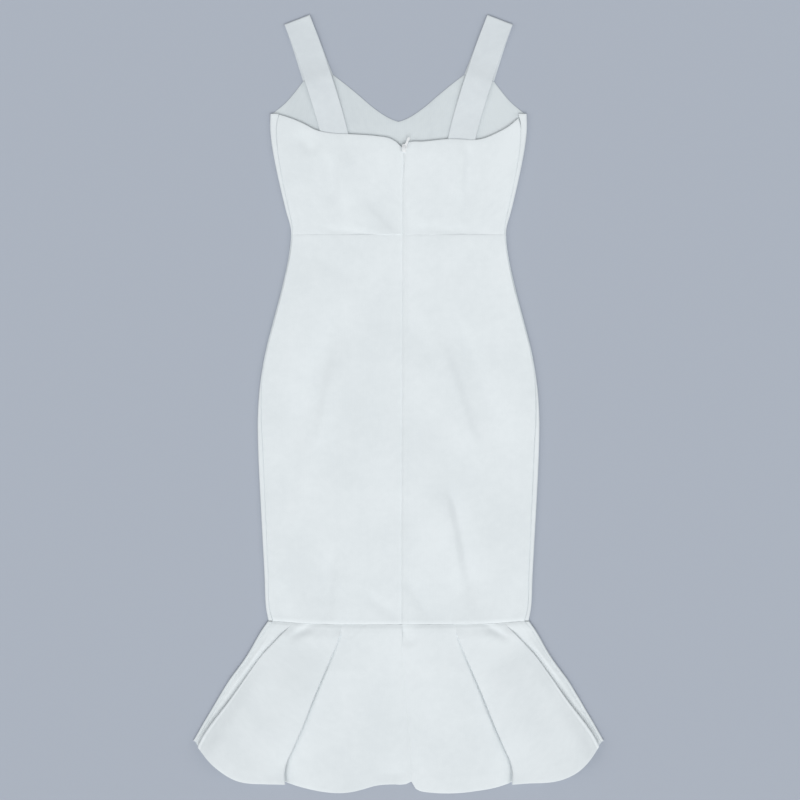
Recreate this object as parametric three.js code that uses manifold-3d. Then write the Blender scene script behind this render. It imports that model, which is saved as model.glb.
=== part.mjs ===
// A sleeveless fitted midi dress with wide straps, a V front, a concealed zip down the centre back
// and a fluted flounce, lying face down on a flat surface.
// Millimetres. X runs across the dress, +Y towards the straps, +Z up from the surface.
// The origin is the middle of the outline, on the surface. Tables measure `down` from the straps'
// folds and `across` from the middle of the dress, outwards on either side.

import * as THREE from 'three';
import { mergeVertices } from 'three/addons/utils/BufferGeometryUtils.js';
import Module from 'manifold-3d';

const { lerp, smoothstep, clamp } = THREE.MathUtils;

// Driving sizes
const dressLength = 1091; // from the straps' folds to the lowest point of the hem
const wall = 1.5; // the knit, with its backing
const strapWall = 2; // the straps are doubled
const seamGap = 0.3; // between two pieces at a seam
const cornerNotch = 0.9; // the hip seam opens this much at its corners
const layGap = 0.35; // between a piece and what it lies on
const waistDown = 308.5;
const hipSeamDown = 855; // at the centre back
const hipSeamRise = 5.5; // the side seams lie this much higher
const frontHemShy = 3; // the front flounce ends this much above the visible hem
const tuckShy = 2; // and the cloth tucked under a flute this much

// Colours and finishes
const clothWhite = new THREE.MeshStandardMaterial({ color: 0xe4eaec, roughness: 0.85 });
const strapWhite = new THREE.MeshStandardMaterial({ color: 0xdbe1e4, roughness: 0.85 });
const tapeWhite = new THREE.MeshStandardMaterial({ color: 0xe9edef, roughness: 0.7 });
const enamelWhite = new THREE.MeshStandardMaterial({ color: 0xf0f3f4, roughness: 0.35, metalness: 0.3 });

// The body of the dress lying flat, a row for each section: half its width, how far the front
// wraps over onto the back, the radius of the side fold and the height of the back's mid-wall.
const bodySections = [
  { down: 139.5, half: 179.8, wrap: 12, fold: 2.05, level: 5.0 },
  { down: 152, half: 180.4, wrap: 9.6, fold: 2.1, level: 5.15 },
  { down: 166, half: 179.9, wrap: 8.4, fold: 2.1, level: 5.3 },
  { down: 187, half: 177.3, wrap: 7.3, fold: 2.1, level: 5.3 },
  { down: 210, half: 173.1, wrap: 6.4, fold: 2.05, level: 5.25 },
  { down: 243, half: 165.9, wrap: 5.5, fold: 1.95, level: 5.1 },
  { down: 277, half: 157.6, wrap: 4.5, fold: 1.85, level: 4.8 },
  { down: 299, half: 151.6, wrap: 2.7, fold: 1.8, level: 4.5 },
  { down: 314, half: 151, wrap: 1.4, fold: 1.8, level: 4.5 },
  { down: 339, half: 153.8, wrap: 0.9, fold: 1.85, level: 4.8 },
  { down: 384, half: 163.5, wrap: 0.8, fold: 1.9, level: 5.15 },
  { down: 428, half: 175, wrap: 0.9, fold: 1.95, level: 5.3 },
  { down: 473, half: 186.5, wrap: 1.1, fold: 1.95, level: 5.3 },
  { down: 518, half: 194.3, wrap: 2.6, fold: 1.95, level: 5.2 },
  { down: 563, half: 197.6, wrap: 5, fold: 1.95, level: 5.1 },
  { down: 608, half: 197.2, wrap: 6.8, fold: 1.95, level: 5.05 },
  { down: 652, half: 195.4, wrap: 6.9, fold: 1.9, level: 5 },
  { down: 720, half: 191.8, wrap: 6.2, fold: 1.9, level: 4.9 },
  { down: 787, half: 188.2, wrap: 5.6, fold: 1.8, level: 4.7 },
  { down: 832, half: 186, wrap: 5, fold: 1.7, level: 4.4 },
  { down: 849.5, half: 182.6, wrap: 6, fold: 1.65, level: 4.2 },
];

// The flounce, from the hip seam's corner to the hem's corner
const flounceSections = [
  { down: 849.5, half: 182.6, wrap: 6, fold: 1.65 },
  { down: 862, half: 191.5, wrap: 5, fold: 1.6 },
  { down: 876, half: 199.8, wrap: 4.4, fold: 1.55 },
  { down: 890, half: 207.6, wrap: 4, fold: 1.5 },
  { down: 904, half: 216.4, wrap: 4, fold: 1.45 },
  { down: 918, half: 226.6, wrap: 4, fold: 1.4 },
  { down: 932, half: 237, wrap: 4, fold: 1.4 },
  { down: 953, half: 250, wrap: 4, fold: 1.35 },
  { down: 974, half: 262.3, wrap: 4, fold: 1.3 },
  { down: 992, half: 273, wrap: 4.2, fold: 1.25 },
  { down: 1018.5, half: 288, wrap: 4.6, fold: 1.25 },
];

// Half of the front's top edge: the V, the strap's foot from 92 to 134, and the armhole
const frontTop = [
  { across: 0, down: 150 },
  { across: 8, down: 147.4 },
  { across: 20, down: 141.2 },
  { across: 36, down: 130 },
  { across: 55, down: 113.8 },
  { across: 72, down: 99.8 },
  { across: 92, down: 84.3 },
  { across: 134, down: 93.4 },
  { across: 146, down: 109 },
  { across: 158, down: 122.8 },
  { across: 168, down: 131.5 },
  { across: 177, down: 138.6 },
];

// The back's top edge dips at the zip, further on the left, and lies a little higher there
const backTop = {
  left: [
    { across: -6.5, down: 187 },
    { across: -3, down: 185 },
    { across: 3, down: 179.2 },
    { across: 12, down: 174 },
    { across: 29, down: 170.8 },
    { across: 55, down: 168.6 },
    { across: 73, down: 167.8 },
    { across: 99, down: 166 },
    { across: 117, down: 161.6 },
    { across: 132, down: 153.8 },
    { across: 147, down: 147.2 },
    { across: 170, down: 139.5 },
  ],
  right: [
    { across: 6.5, down: 187 },
    { across: 10, down: 181.5 },
    { across: 15, down: 179.2 },
    { across: 35, down: 178.2 },
    { across: 71, down: 174.8 },
    { across: 90, down: 175.4 },
    { across: 106, down: 176 },
    { across: 120, down: 173.6 },
    { across: 138, down: 166 },
    { across: 156, down: 155.8 },
    { across: 172, down: 141.6 },
  ],
};

// The visible hem, from the centre-back seam out to the corner
const hem = {
  left: [
    { across: -18, down: 1075 },
    { across: -13.7, down: 1077.4 },
    { across: -6, down: 1079.2 },
    { across: 9, down: 1078.8 },
    { across: 32, down: 1080.4 },
    { across: 51, down: 1085.6 },
    { across: 70, down: 1089.4 },
    { across: 90, down: 1090 },
    { across: 109, down: 1087.9 },
    { across: 126, down: 1084.9 },
    { across: 144, down: 1081 },
    { across: 154, down: 1078.4 },
    { across: 165, down: 1076.7 },
    { across: 187, down: 1075.4 },
    { across: 207, down: 1074.3 },
    { across: 222, down: 1071.6 },
    { across: 236, down: 1065.8 },
    { across: 251, down: 1056 },
    { across: 264, down: 1045 },
    { across: 280, down: 1027 },
    { across: 288, down: 1018.5 },
  ],
  right: [
    { across: 18, down: 1075 },
    { across: 20.5, down: 1080.5 },
    { across: 25, down: 1086 },
    { across: 33, down: 1088.8 },
    { across: 44, down: 1090.2 },
    { across: 66, down: 1091 },
    { across: 93, down: 1089.4 },
    { across: 109, down: 1087.2 },
    { across: 136, down: 1083 },
    { across: 152, down: 1079.3 },
    { across: 160, down: 1077.2 },
    { across: 181, down: 1074.4 },
    { across: 203, down: 1073.2 },
    { across: 218, down: 1071.4 },
    { across: 234, down: 1066.8 },
    { across: 252, down: 1057 },
    { across: 269, down: 1040.5 },
    { across: 281, down: 1024.5 },
    { across: 288, down: 1018.5 },
  ],
};

// The zip and centre-back seam wander to the wearer's right of the middle
const centreBack = [
  { down: 139.5, across: 7 },
  { down: 187, across: 6.5 },
  { down: 204, across: 5.6 },
  { down: 308, across: 5.4 },
  { down: 560, across: 4.9 },
  { down: 855, across: 4.6 },
  { down: 872, across: 5 },
  { down: 889, across: 4.2 },
  { down: 930, across: 7 },
  { down: 973, across: 10.6 },
  { down: 1024, across: 15.4 },
  { down: 1075, across: 18 },
];

// The two fold lines of a flute, where its edges lie over the cloth beside it
const fluteOuterFold = [
  { down: 849, across: 143 },
  { down: 861, across: 156 },
  { down: 878, across: 173.4 },
  { down: 897, across: 191.4 },
  { down: 920, across: 208.5 },
  { down: 959, across: 236.4 },
  { down: 1005, across: 271 },
  { down: 1023, across: 281 },
];
const fluteInnerFold = [
  { down: 849, across: 79.8 },
  { down: 858, across: 80.6 },
  { down: 870, across: 82.9 },
  { down: 890, across: 90.2 },
  { down: 924, across: 104.8 },
  { down: 957, across: 118.8 },
  { down: 991, across: 132.4 },
  { down: 1025, across: 147.2 },
  { down: 1047, across: 156.6 },
  { down: 1060, across: 159.2 },
  { down: 1078, across: 158 },
];

// A flute's growth down the flounce: the share of its full tuck, how far the cloth has turned
// back (1 is flat on itself), and the height of the cloth beside it
const fluteGrowth = [
  { at: 0, tuck: 0, turn: 0, radius: 1.1, level: 4.2 },
  { at: 0.04, tuck: 0.03, turn: 0.3, radius: 1.1, level: 4.1 },
  { at: 0.09, tuck: 0.06, turn: 0.86, radius: 1.12, level: 3.9 },
  { at: 0.15, tuck: 0.14, turn: 1, radius: 1.2, level: 3.7 },
  { at: 0.3, tuck: 0.33, turn: 1, radius: 1.5, level: 3.4 },
  { at: 0.6, tuck: 0.63, turn: 1, radius: 2.1, level: 3.15 },
  { at: 1, tuck: 1, turn: 1, radius: 2.8, level: 3.05 },
];
const fluteStep = 0.6; // the least distance between a row's points where a flute begins
const outerTuck = 46; // cloth turned under each flute's outer edge, at the hem
const innerTuck = 40;
const fluteBow = 5.5; // a flute's top stands this much above its folds, at the hem
const panelBow = 2.2; // and the flounce's centre panel above its edges

// Soft creases pressed into the back, each from one end to the other
const creases = [
  { piece: 'bodice', fromAcross: -92, fromDown: 212, toAcross: -84, toDown: 262, width: 15, height: -0.8 },
  { piece: 'bodice', fromAcross: 96, fromDown: 212, toAcross: 96, toDown: 262, width: 14, height: -0.9 },
  { piece: 'bodice', fromAcross: -54, fromDown: 268, toAcross: -8, toDown: 300, width: 16, height: 0.7 },
  { piece: 'skirt', fromAcross: -89, fromDown: 428, toAcross: -136, toDown: 590, width: 24, height: -0.9 },
  { piece: 'skirt', fromAcross: -62, fromDown: 505, toAcross: -112, toDown: 640, width: 22, height: 0.6 },
  { piece: 'skirt', fromAcross: 79, fromDown: 428, toAcross: 138, toDown: 596, width: 24, height: -0.9 },
  { piece: 'skirt', fromAcross: 24, fromDown: 442, toAcross: 72, toDown: 540, width: 20, height: 0.6 },
  { piece: 'skirt', fromAcross: 75, fromDown: 680, toAcross: 98, toDown: 806, width: 18, height: -0.7 },
  { piece: 'skirt', fromAcross: -96, fromDown: 764, toAcross: -103, toDown: 822, width: 16, height: -0.6 },
];

// The straps' middle line, from the fold at the shoulder to under the back's top edge
const strapLine = [
  { across: 142.4, down: 6.8 },
  { across: 127, down: 47 },
  { across: 113, down: 88.5 },
  { across: 100.5, down: 128 },
  { across: 90.5, down: 165 },
  { across: 86, down: 188 },
  { across: 84, down: 200 },
];
const strapWidth = 38;
const strapLineEnd = { left: 186, right: 194 }; // along the middle line, under the back's top edge
// The height of the upper run's mid-wall: it dips, rides over the front's edge and dips again
const strapHeights = [
  { down: 0, height: 3.45 },
  { down: 50, height: 3.45 },
  { down: 68, height: 3.35 },
  { down: 86, height: 4.3 },
  { down: 104, height: 4.1 },
  { down: 140, height: 2.95 },
  { down: 165, height: 3.1 },
  { down: 188, height: 3.1 },
];
const strapFoldRadius = 1.225;

// Zip
const zipLength = 345;
const tapeWidth = 24;
const tapeWall = 1;
const sliderLength = 11.5;
const sliderWidth = 7.6;
const sliderHeight = 1.9;
const sliderAcross = 8.2;
const sliderDown = 188;
const sliderTurn = -0.12; // the slider and its pull lie askew, in radians
const bridgeWidth = 1.1;
const bridgeThickness = 0.9;
const bridgeInside = 1.75; // half the tunnel's length under the bridge
const bridgeClear = 1.5; // the tunnel's height
const pullLength = 17;
const pullEyeWidth = 4.8;
const pullTipWidth = 3.4;
const pullThickness = 0.9;
const pullTurn = -0.3;
const eyeWidth = 2.9;
const eyeLength = 3.3;
const pullBar = 0.9; // the end of the eye that turns under the bridge

const toY = (down) => dressLength / 2 - down;
const onSide = (side, across) => (side === 'left' ? -across : across);

/** Reads a table between its rows: a smooth curve through each column, against the key column. */
function tableReader(rows, key) {
  const names = Object.keys(rows[0]).filter((name) => name !== key);
  const places = rows.map((row) => row[key]);
  const values = rows.flatMap((row) => names.map((name) => row[name]));
  const curve = new THREE.CubicInterpolant(places, values, names.length);
  return (place) => {
    const found = curve.evaluate(clamp(place, places[0], places.at(-1)));
    return Object.fromEntries(names.map((name, i) => [name, found[i]]));
  };
}

const bodyAt = tableReader(bodySections, 'down');
const flounceAt = tableReader(flounceSections, 'down');
const backTopAt = { left: tableReader(backTop.left, 'across'), right: tableReader(backTop.right, 'across') };
const hemAt = { left: tableReader(hem.left, 'across'), right: tableReader(hem.right, 'across') };
const centreBackAt = tableReader(centreBack, 'down');
const outerFoldAt = tableReader(fluteOuterFold, 'down');
const innerFoldAt = tableReader(fluteInnerFold, 'down');
const growthAt = tableReader(fluteGrowth, 'at');
const strapHeightAt = tableReader(strapHeights, 'down');

const shares = (count) => Array.from({ length: count + 1 }, (_, i) => i / count);

/** The hip seam is lowest at the centre back and rises to the sides. */
function hipSeamAt(across) {
  return hipSeamDown - hipSeamRise * Math.min(1, Math.abs(across) / 182) ** 3;
}

/** The seam on one side of the centre back, measured outwards on that side. */
function centreAcross(side, down) {
  return onSide(side, centreBackAt(down).across) + seamGap / 2;
}

/** How high the creases of a piece lift or press the cloth at a place. */
function creaseHeight(piece, x, down) {
  let height = 0;
  for (const crease of creases.filter((entry) => entry.piece === piece)) {
    const line = new THREE.Line3(
      new THREE.Vector3(crease.fromAcross, crease.fromDown, 0),
      new THREE.Vector3(crease.toAcross, crease.toDown, 0),
    );
    const place = new THREE.Vector3(x, down, 0);
    const away = line.closestPointToPoint(place, true, new THREE.Vector3()).distanceTo(place);
    height += crease.height * Math.exp(-((away / crease.width) ** 2));
  }
  return height;
}

// The side fold. Its path starts where the cloth leaves the surface, turns up round the fold's
// radius and runs inwards on top.

const foldStart = (section) => section.half - wall / 2 - section.fold;

/** A point on the side fold, `along` its path: how far out it is and how high. */
function sideFoldPoint(section, along) {
  const arc = Math.PI * section.fold;
  if (along >= arc) {
    return { across: foldStart(section) - (along - arc), height: wall / 2 + 2 * section.fold };
  }
  const turn = along / section.fold;
  return {
    across: foldStart(section) + section.fold * Math.sin(turn),
    height: wall / 2 + section.fold * (1 - Math.cos(turn)),
  };
}

/** Where the side seam lies on that path. */
function sideSeam(section) {
  const wrap = Math.max(section.wrap, wall / 2);
  const straight = wrap - wall / 2 - section.fold;
  if (straight >= 0) {
    return Math.PI * section.fold + straight;
  }
  return section.fold * (Math.PI - Math.asin(1 - (wrap - wall / 2) / section.fold));
}

/** Half the side seam's gap along that path: the full gap is kept on the fold's inner face. */
function sideGap(section) {
  return (seamGap * section.fold) / (section.fold - wall / 2) / 2 + 0.08;
}

/** The way a grid's surface faces at one of its points. */
function gridNormal(grid, r, c) {
  const last = { row: grid.length - 1, column: grid[0].length - 1 };
  const above = grid[Math.max(r - 1, 0)][c];
  const below = grid[Math.min(r + 1, last.row)][c];
  const before = grid[r][Math.max(c - 1, 0)];
  const after = grid[r][Math.min(c + 1, last.column)];
  return below.clone().sub(above).cross(after.clone().sub(before)).normalize();
}

/**
 * A closed wall of cloth round a grid of its mid-wall points, with rows down and columns to +X.
 * Guide columns carry the cloth's curve on past a side seam: they set its facing there, and are
 * no part of the wall.
 */
function clothWall(name, grid, thickness, material, guides = {}) {
  const rows = grid.length;
  const skip = guides.left ?? 0;
  const columns = grid[0].length - skip - (guides.right ?? 0);
  const positions = [];
  for (const side of [0.5, -0.5]) {
    for (let r = 0; r < rows; r++) {
      for (let c = skip; c < columns + skip; c++) {
        const point = grid[r][c].clone().addScaledVector(gridNormal(grid, r, c), side * thickness);
        positions.push(...point);
      }
    }
  }
  const at = (r, c) => r * columns + c;
  const under = rows * columns;
  const faces = [];
  const pointAt = (i) => new THREE.Vector3().fromArray(positions, 3 * i);
  const apart = (i, j) => pointAt(i).distanceTo(pointAt(j));
  // Each quad is split along its shorter diagonal, so that both sides of a seam match
  const addQuad = (a, b, c, d) => {
    const split = apart(a, c) <= apart(b, d) ? [a, b, c, a, c, d] : [b, c, d, b, d, a];
    faces.push(...split);
  };
  for (let r = 0; r < rows - 1; r++) {
    for (let c = 0; c < columns - 1; c++) {
      const ring = [at(r, c), at(r + 1, c), at(r + 1, c + 1), at(r, c + 1)];
      addQuad(...ring);
      addQuad(...ring.toReversed().map((i) => i + under));
    }
  }
  const rim = [];
  for (let r = 0; r < rows - 1; r++) rim.push(at(r, 0));
  for (let c = 0; c < columns - 1; c++) rim.push(at(rows - 1, c));
  for (let r = rows - 1; r > 0; r--) rim.push(at(r, columns - 1));
  for (let c = columns - 1; c > 0; c--) rim.push(at(0, c));
  rim.forEach((a, i) => {
    const b = rim[(i + 1) % rim.length];
    addQuad(b, a, a + under, b + under);
  });
  const geometry = new THREE.BufferGeometry();
  geometry.setAttribute('position', new THREE.Float32BufferAttribute(positions, 3));
  geometry.setIndex(faces);
  geometry.computeVertexNormals();
  return namedMesh(name, geometry, material);
}

function namedMesh(name, geometry, material) {
  const mesh = new THREE.Mesh(geometry, material);
  mesh.name = name;
  return mesh;
}

/** Puts one side's points, listed from the outside in, in the order that runs to +X. */
function towardsX(side, points) {
  return side === 'left' ? points : points.toReversed();
}

// Front panels: flat on the surface, with a side fold and a return at each side.

const returnSteps = 6;
const bothSides = { left: 1, right: 1 };

function frontRow(section, foldDown, flatPlaces) {
  const row = [];
  const fold = (side) => [...shares(returnSteps), 1 + 1 / returnSteps].map((share) => {
    const place = sideFoldPoint(section, share * (sideSeam(section) - sideGap(section)));
    return new THREE.Vector3(onSide(side, place.across), toY(foldDown), place.height);
  });
  row.push(...fold('left').toReversed());
  for (const place of flatPlaces) {
    row.push(new THREE.Vector3(place.x, toY(place.down), wall / 2));
  }
  row.push(...fold('right'));
  return row;
}

const bodiceRows = shares(10);

function frontBodice() {
  const stations = [...frontTop.toReversed(), ...frontTop.slice(1)];
  const topFlat = foldStart(bodyAt(bodySections[0].down));
  const end = waistDown - seamGap / 2;
  const grid = bodiceRows.map((share) => {
    const foldDown = lerp(bodySections[0].down, end, share);
    const section = bodyAt(foldDown);
    const places = stations.map((station, i) => ({
      x: (i < frontTop.length - 1 ? -1 : 1) * station.across * (foldStart(section) / topFlat) * 0.997,
      down: lerp(station.down, end, share),
    }));
    return frontRow(section, foldDown, places);
  });
  return clothWall('front_bodice', grid, wall, clothWhite, bothSides);
}

function skirtDowns() {
  return shares(17).map((share) => lerp(waistDown + seamGap / 2, bodySections.at(-1).down, share));
}

/** Places across a flat panel, as shares of its half width. */
const flatShares = [-0.97, -0.8, -0.6, -0.4, -0.2, 0, 0.2, 0.4, 0.6, 0.8, 0.97];

function frontSkirt() {
  const downs = skirtDowns();
  const top = downs[0];
  const bottom = downs.at(-1);
  const grid = downs.map((foldDown) => {
    const section = bodyAt(foldDown);
    const share = (foldDown - top) / (bottom - top);
    const places = flatShares.map((width) => {
      const x = width * foldStart(section);
      return { x, down: foldDown + share * (hipSeamAt(x) - bottom - seamGap / 2) };
    });
    return frontRow(section, foldDown - share * (seamGap / 2), places);
  });
  return clothWall('front_skirt', grid, wall, clothWhite, bothSides);
}

/** Rows of the flounce: shares of the way from the hip seam to the hem. */
const flounceRows = [0, 0.03, 0.065, 0.105, 0.155, 0.24, 0.37, 0.52, 0.67, 0.82, 0.93, 1];

/** One row of the flounce on one side: its section at the side and its line across the dress. */
function flounceRow(side, share) {
  const first = flounceSections[0];
  const last = flounceSections.at(-1);
  const foldDown = lerp(first.down + cornerNotch, last.down, share);
  const section = flounceAt(foldDown);
  const hemCentre = onSide(side, centreBack.at(-1).across);
  const hipCentre = onSide(side, centreBackAt(hipSeamDown).across);
  const centreDown = lerp(hipSeamDown + seamGap, hemAt[side](hemCentre).down, share);
  const centre = centreAcross(side, centreDown);
  const downAt = (across, hemShy = 0) => {
    const inwards = (section.half - across) / (section.half - centre);
    const seam = hipSeamAt(lerp(first.half, hipCentre, inwards)) + seamGap;
    const edge = hemAt[side](lerp(last.half, hemCentre, inwards)).down - hemShy;
    return lerp(seam, edge, share);
  };
  return { section, foldDown, centre, downAt };
}

function frontFlounce() {
  const grid = flounceRows.map((share) => {
    const rows = { left: flounceRow('left', share), right: flounceRow('right', share) };
    const { section, foldDown } = rows.left;
    const halfShares = [0.985, 0.94, 0.88, 0.8, 0.7, 0.6, 0.48, 0.36, 0.24, 0.12];
    const place = (side, width) => {
      const across = width * foldStart(section);
      const cornerward = smoothstep(width, 0.9, 1);
      return { x: onSide(side, across), down: rows[side].downAt(across, frontHemShy * (1 - cornerward)) };
    };
    const flat = [
      ...halfShares.map((width) => place('left', width)),
      { x: 0, down: rows.left.downAt(0, frontHemShy) },
      ...halfShares.toReversed().map((width) => place('right', width)),
    ];
    return frontRow(section, foldDown, flat);
  });
  return clothWall('front_flounce', grid, wall, clothWhite, bothSides);
}

// Back panels: from the side seam, over the rest of the side fold, in to the centre back.

const backFoldSteps = 5;
const backShares = shares(9);

/** The back's mid-wall height away from the side folds. */
function backHeight(piece, section, side, across, down) {
  const foldTop = wall / 2 + 2 * section.fold;
  const inwards = smoothstep(foldStart(section) - across, 2, 34);
  const x = onSide(side, across);
  return lerp(foldTop, section.level + creaseHeight(piece, x, down), inwards);
}

function backRow(piece, side, foldDown, downFor) {
  const section = bodyAt(foldDown);
  const seam = sideSeam(section) + sideGap(section);
  const foldEnd = Math.max(seam, Math.PI * section.fold) + 1.5;
  const points = [-1 / backFoldSteps, ...shares(backFoldSteps)].map((share) => {
    const place = sideFoldPoint(section, lerp(seam, foldEnd, share));
    return new THREE.Vector3(onSide(side, place.across), toY(downFor(place.across)), place.height);
  });
  const start = sideFoldPoint(section, foldEnd).across;
  const centre = centreAcross(side, foldDown);
  for (const share of backShares.slice(1)) {
    const across = lerp(start, centre, share);
    const down = downFor(across);
    const height = backHeight(piece, section, side, across, down);
    points.push(new THREE.Vector3(onSide(side, across), toY(down), height));
  }
  return towardsX(side, points);
}

function backBodice(side) {
  const top = bodySections[0].down;
  const end = waistDown - seamGap / 2;
  const topStart = bodyAt(top).half;
  const grid = bodiceRows.map((share) => {
    const foldDown = lerp(top, end, share);
    const widen = topStart / bodyAt(foldDown).half;
    return backRow('bodice', side, foldDown, (across) => {
      const topAcross = lerp(across, across * widen, clamp(across / 60, 0, 1));
      return lerp(backTopAt[side](topAcross).down, end, share);
    });
  });
  return clothWall(`back_bodice_${side}`, grid, wall, clothWhite, { [side]: 1 });
}

function backSkirt(side) {
  const downs = skirtDowns();
  const top = downs[0];
  const bottom = downs.at(-1);
  const grid = downs.map((foldDown) => {
    const share = (foldDown - top) / (bottom - top);
    return backRow('skirt', side, foldDown, (across) => (
      foldDown + share * (hipSeamAt(across) - bottom - seamGap / 2)
    ));
  });
  return clothWall(`back_skirt_${side}`, grid, wall, clothWhite, { [side]: 1 });
}

// Back flounce: a strip beside the side seam, the flute lying over it, and the centre panel.

/**
 * The path of cloth that doubles back on itself, as steps inwards and up: it turns up through
 * `turn`, runs `tuck` the other way and turns level again.
 */
function doubledBack(turn, tuck, radius) {
  const turns = shares(4);
  const first = turns.map((share) => ({
    inwards: radius * Math.sin(share * turn),
    up: radius * (1 - Math.cos(share * turn)),
  }));
  const corner = first.at(-1);
  const second = turns.map((share) => ({
    inwards: corner.inwards + tuck * Math.cos(turn)
      + radius * (Math.sin(turn) - Math.sin((1 - share) * turn)),
    up: corner.up + tuck * Math.sin(turn) + radius * (Math.cos((1 - share) * turn) - Math.cos(turn)),
  }));
  return [...first, ...second];
}

/** Where a fold line crosses a row of the flounce. */
function crossing(foldLineAt, row) {
  let across = foldLineAt(row.downAt(foldLineAt(row.foldDown).across)).across;
  for (let i = 0; i < 14; i++) {
    across = (across + foldLineAt(row.downAt(across)).across) / 2;
  }
  return across;
}

/** Moves a row's points along its line until none is nearer than `least` to its neighbour. */
function spreadAlong(points, least) {
  const places = [0];
  const wider = [0];
  points.slice(1).forEach((point, i) => {
    const step = point.distanceTo(points[i]);
    places.push(places[i] + step);
    wider.push(wider[i] + Math.max(step, least));
  });
  const scale = places.at(-1) / wider.at(-1);
  return wider.map((place) => {
    const next = Math.max(1, places.findIndex((end) => end >= Math.min(place * scale, places.at(-1))));
    const span = places[next] - places[next - 1];
    const share = span > 0 ? (place * scale - places[next - 1]) / span : 0;
    return points[next - 1].clone().lerp(points[next], clamp(share, 0, 1));
  });
}

function backFlounceRow(side, share) {
  const row = flounceRow(side, share);
  const { section, centre, downAt } = row;
  const growth = growthAt(share);
  const turn = Math.PI * clamp(growth.turn, 0, 1);
  const covered = tuckShy * share;
  const outerPath = doubledBack(turn, outerTuck * growth.tuck, growth.radius);
  const innerPath = doubledBack(turn, innerTuck * growth.tuck, growth.radius);
  const folded = clamp(growth.turn * 2 - 1, 0, 1);
  // A fold line is the outer face of the cloth where it turns, or the middle of a step
  const overhang = (path, past) => lerp(path.at(-1).inwards / 2, past, folded);
  const outerEdge = crossing(outerFoldAt, row) - (wall / 2) * folded;
  const innerEdge = crossing(innerFoldAt, row) + (wall / 2) * folded;
  const outerStart = outerEdge + overhang(outerPath, Math.min(...outerPath.map((step) => step.inwards)));
  const innerStart = innerEdge + overhang(innerPath, growth.radius);
  const lift = { outer: outerPath.at(-1).up, inner: innerPath.at(-1).up };

  const points = [];
  const add = (across, height, shy) => {
    points.push(new THREE.Vector3(onSide(side, across), toY(downAt(across, shy)), height));
  };
  const seamAlong = sideSeam(section) + sideGap(section);
  const seam = sideFoldPoint(section, seamAlong);
  const guide = sideFoldPoint(section, seamAlong - 1);
  // The strip starts level with the front's return at the seam
  const seamShift = row.foldDown - downAt(seam.across);
  add(guide.across, guide.height, -seamShift);
  const outermost = outerEdge + 1;
  for (const part of [0, 0.5, 1]) {
    const across = lerp(seam.across, Math.min(outermost, seam.across - 1), part);
    const shy = lerp(-seamShift / Math.max(share, 0.01), covered, part);
    add(across, lerp(seam.height, growth.level, smoothstep(part, 0, 1)), shy);
  }
  outerPath.forEach((step, i) => {
    add(outerStart - step.inwards, growth.level + step.up, i < outerPath.length / 2 ? covered : 0);
  });
  const fluteStart = outerStart - outerPath.at(-1).inwards;
  for (const part of shares(8).slice(1, -1)) {
    const bow = fluteBow * share * Math.sin(Math.PI * part) ** 0.8;
    const height = growth.level + lerp(lift.outer, lift.inner, part) + bow;
    add(lerp(fluteStart, innerStart, part), height, 0);
  }
  innerPath.forEach((step, i) => {
    const height = growth.level + lift.inner - step.up;
    add(innerStart - step.inwards, height, i < innerPath.length / 2 ? 0 : covered);
  });
  const panelStart = innerStart - innerPath.at(-1).inwards;
  for (const part of shares(8).slice(1)) {
    const across = lerp(panelStart, centre, part);
    const bow = panelBow * share * Math.sin(Math.PI * part) ** 2;
    add(across, growth.level + bow, covered * (1 - smoothstep(part, 0.1, 0.4)));
  }
  return towardsX(side, [points[0], ...spreadAlong(points.slice(1), fluteStep)]);
}

function backFlounce(side) {
  const grid = flounceRows.map((share) => backFlounceRow(side, share));
  return clothWall(`back_flounce_${side}`, grid, wall, clothWhite, { [side]: 1 });
}

// Straps: a doubled band, its lower run flat and its upper run over the front's edge.

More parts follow.
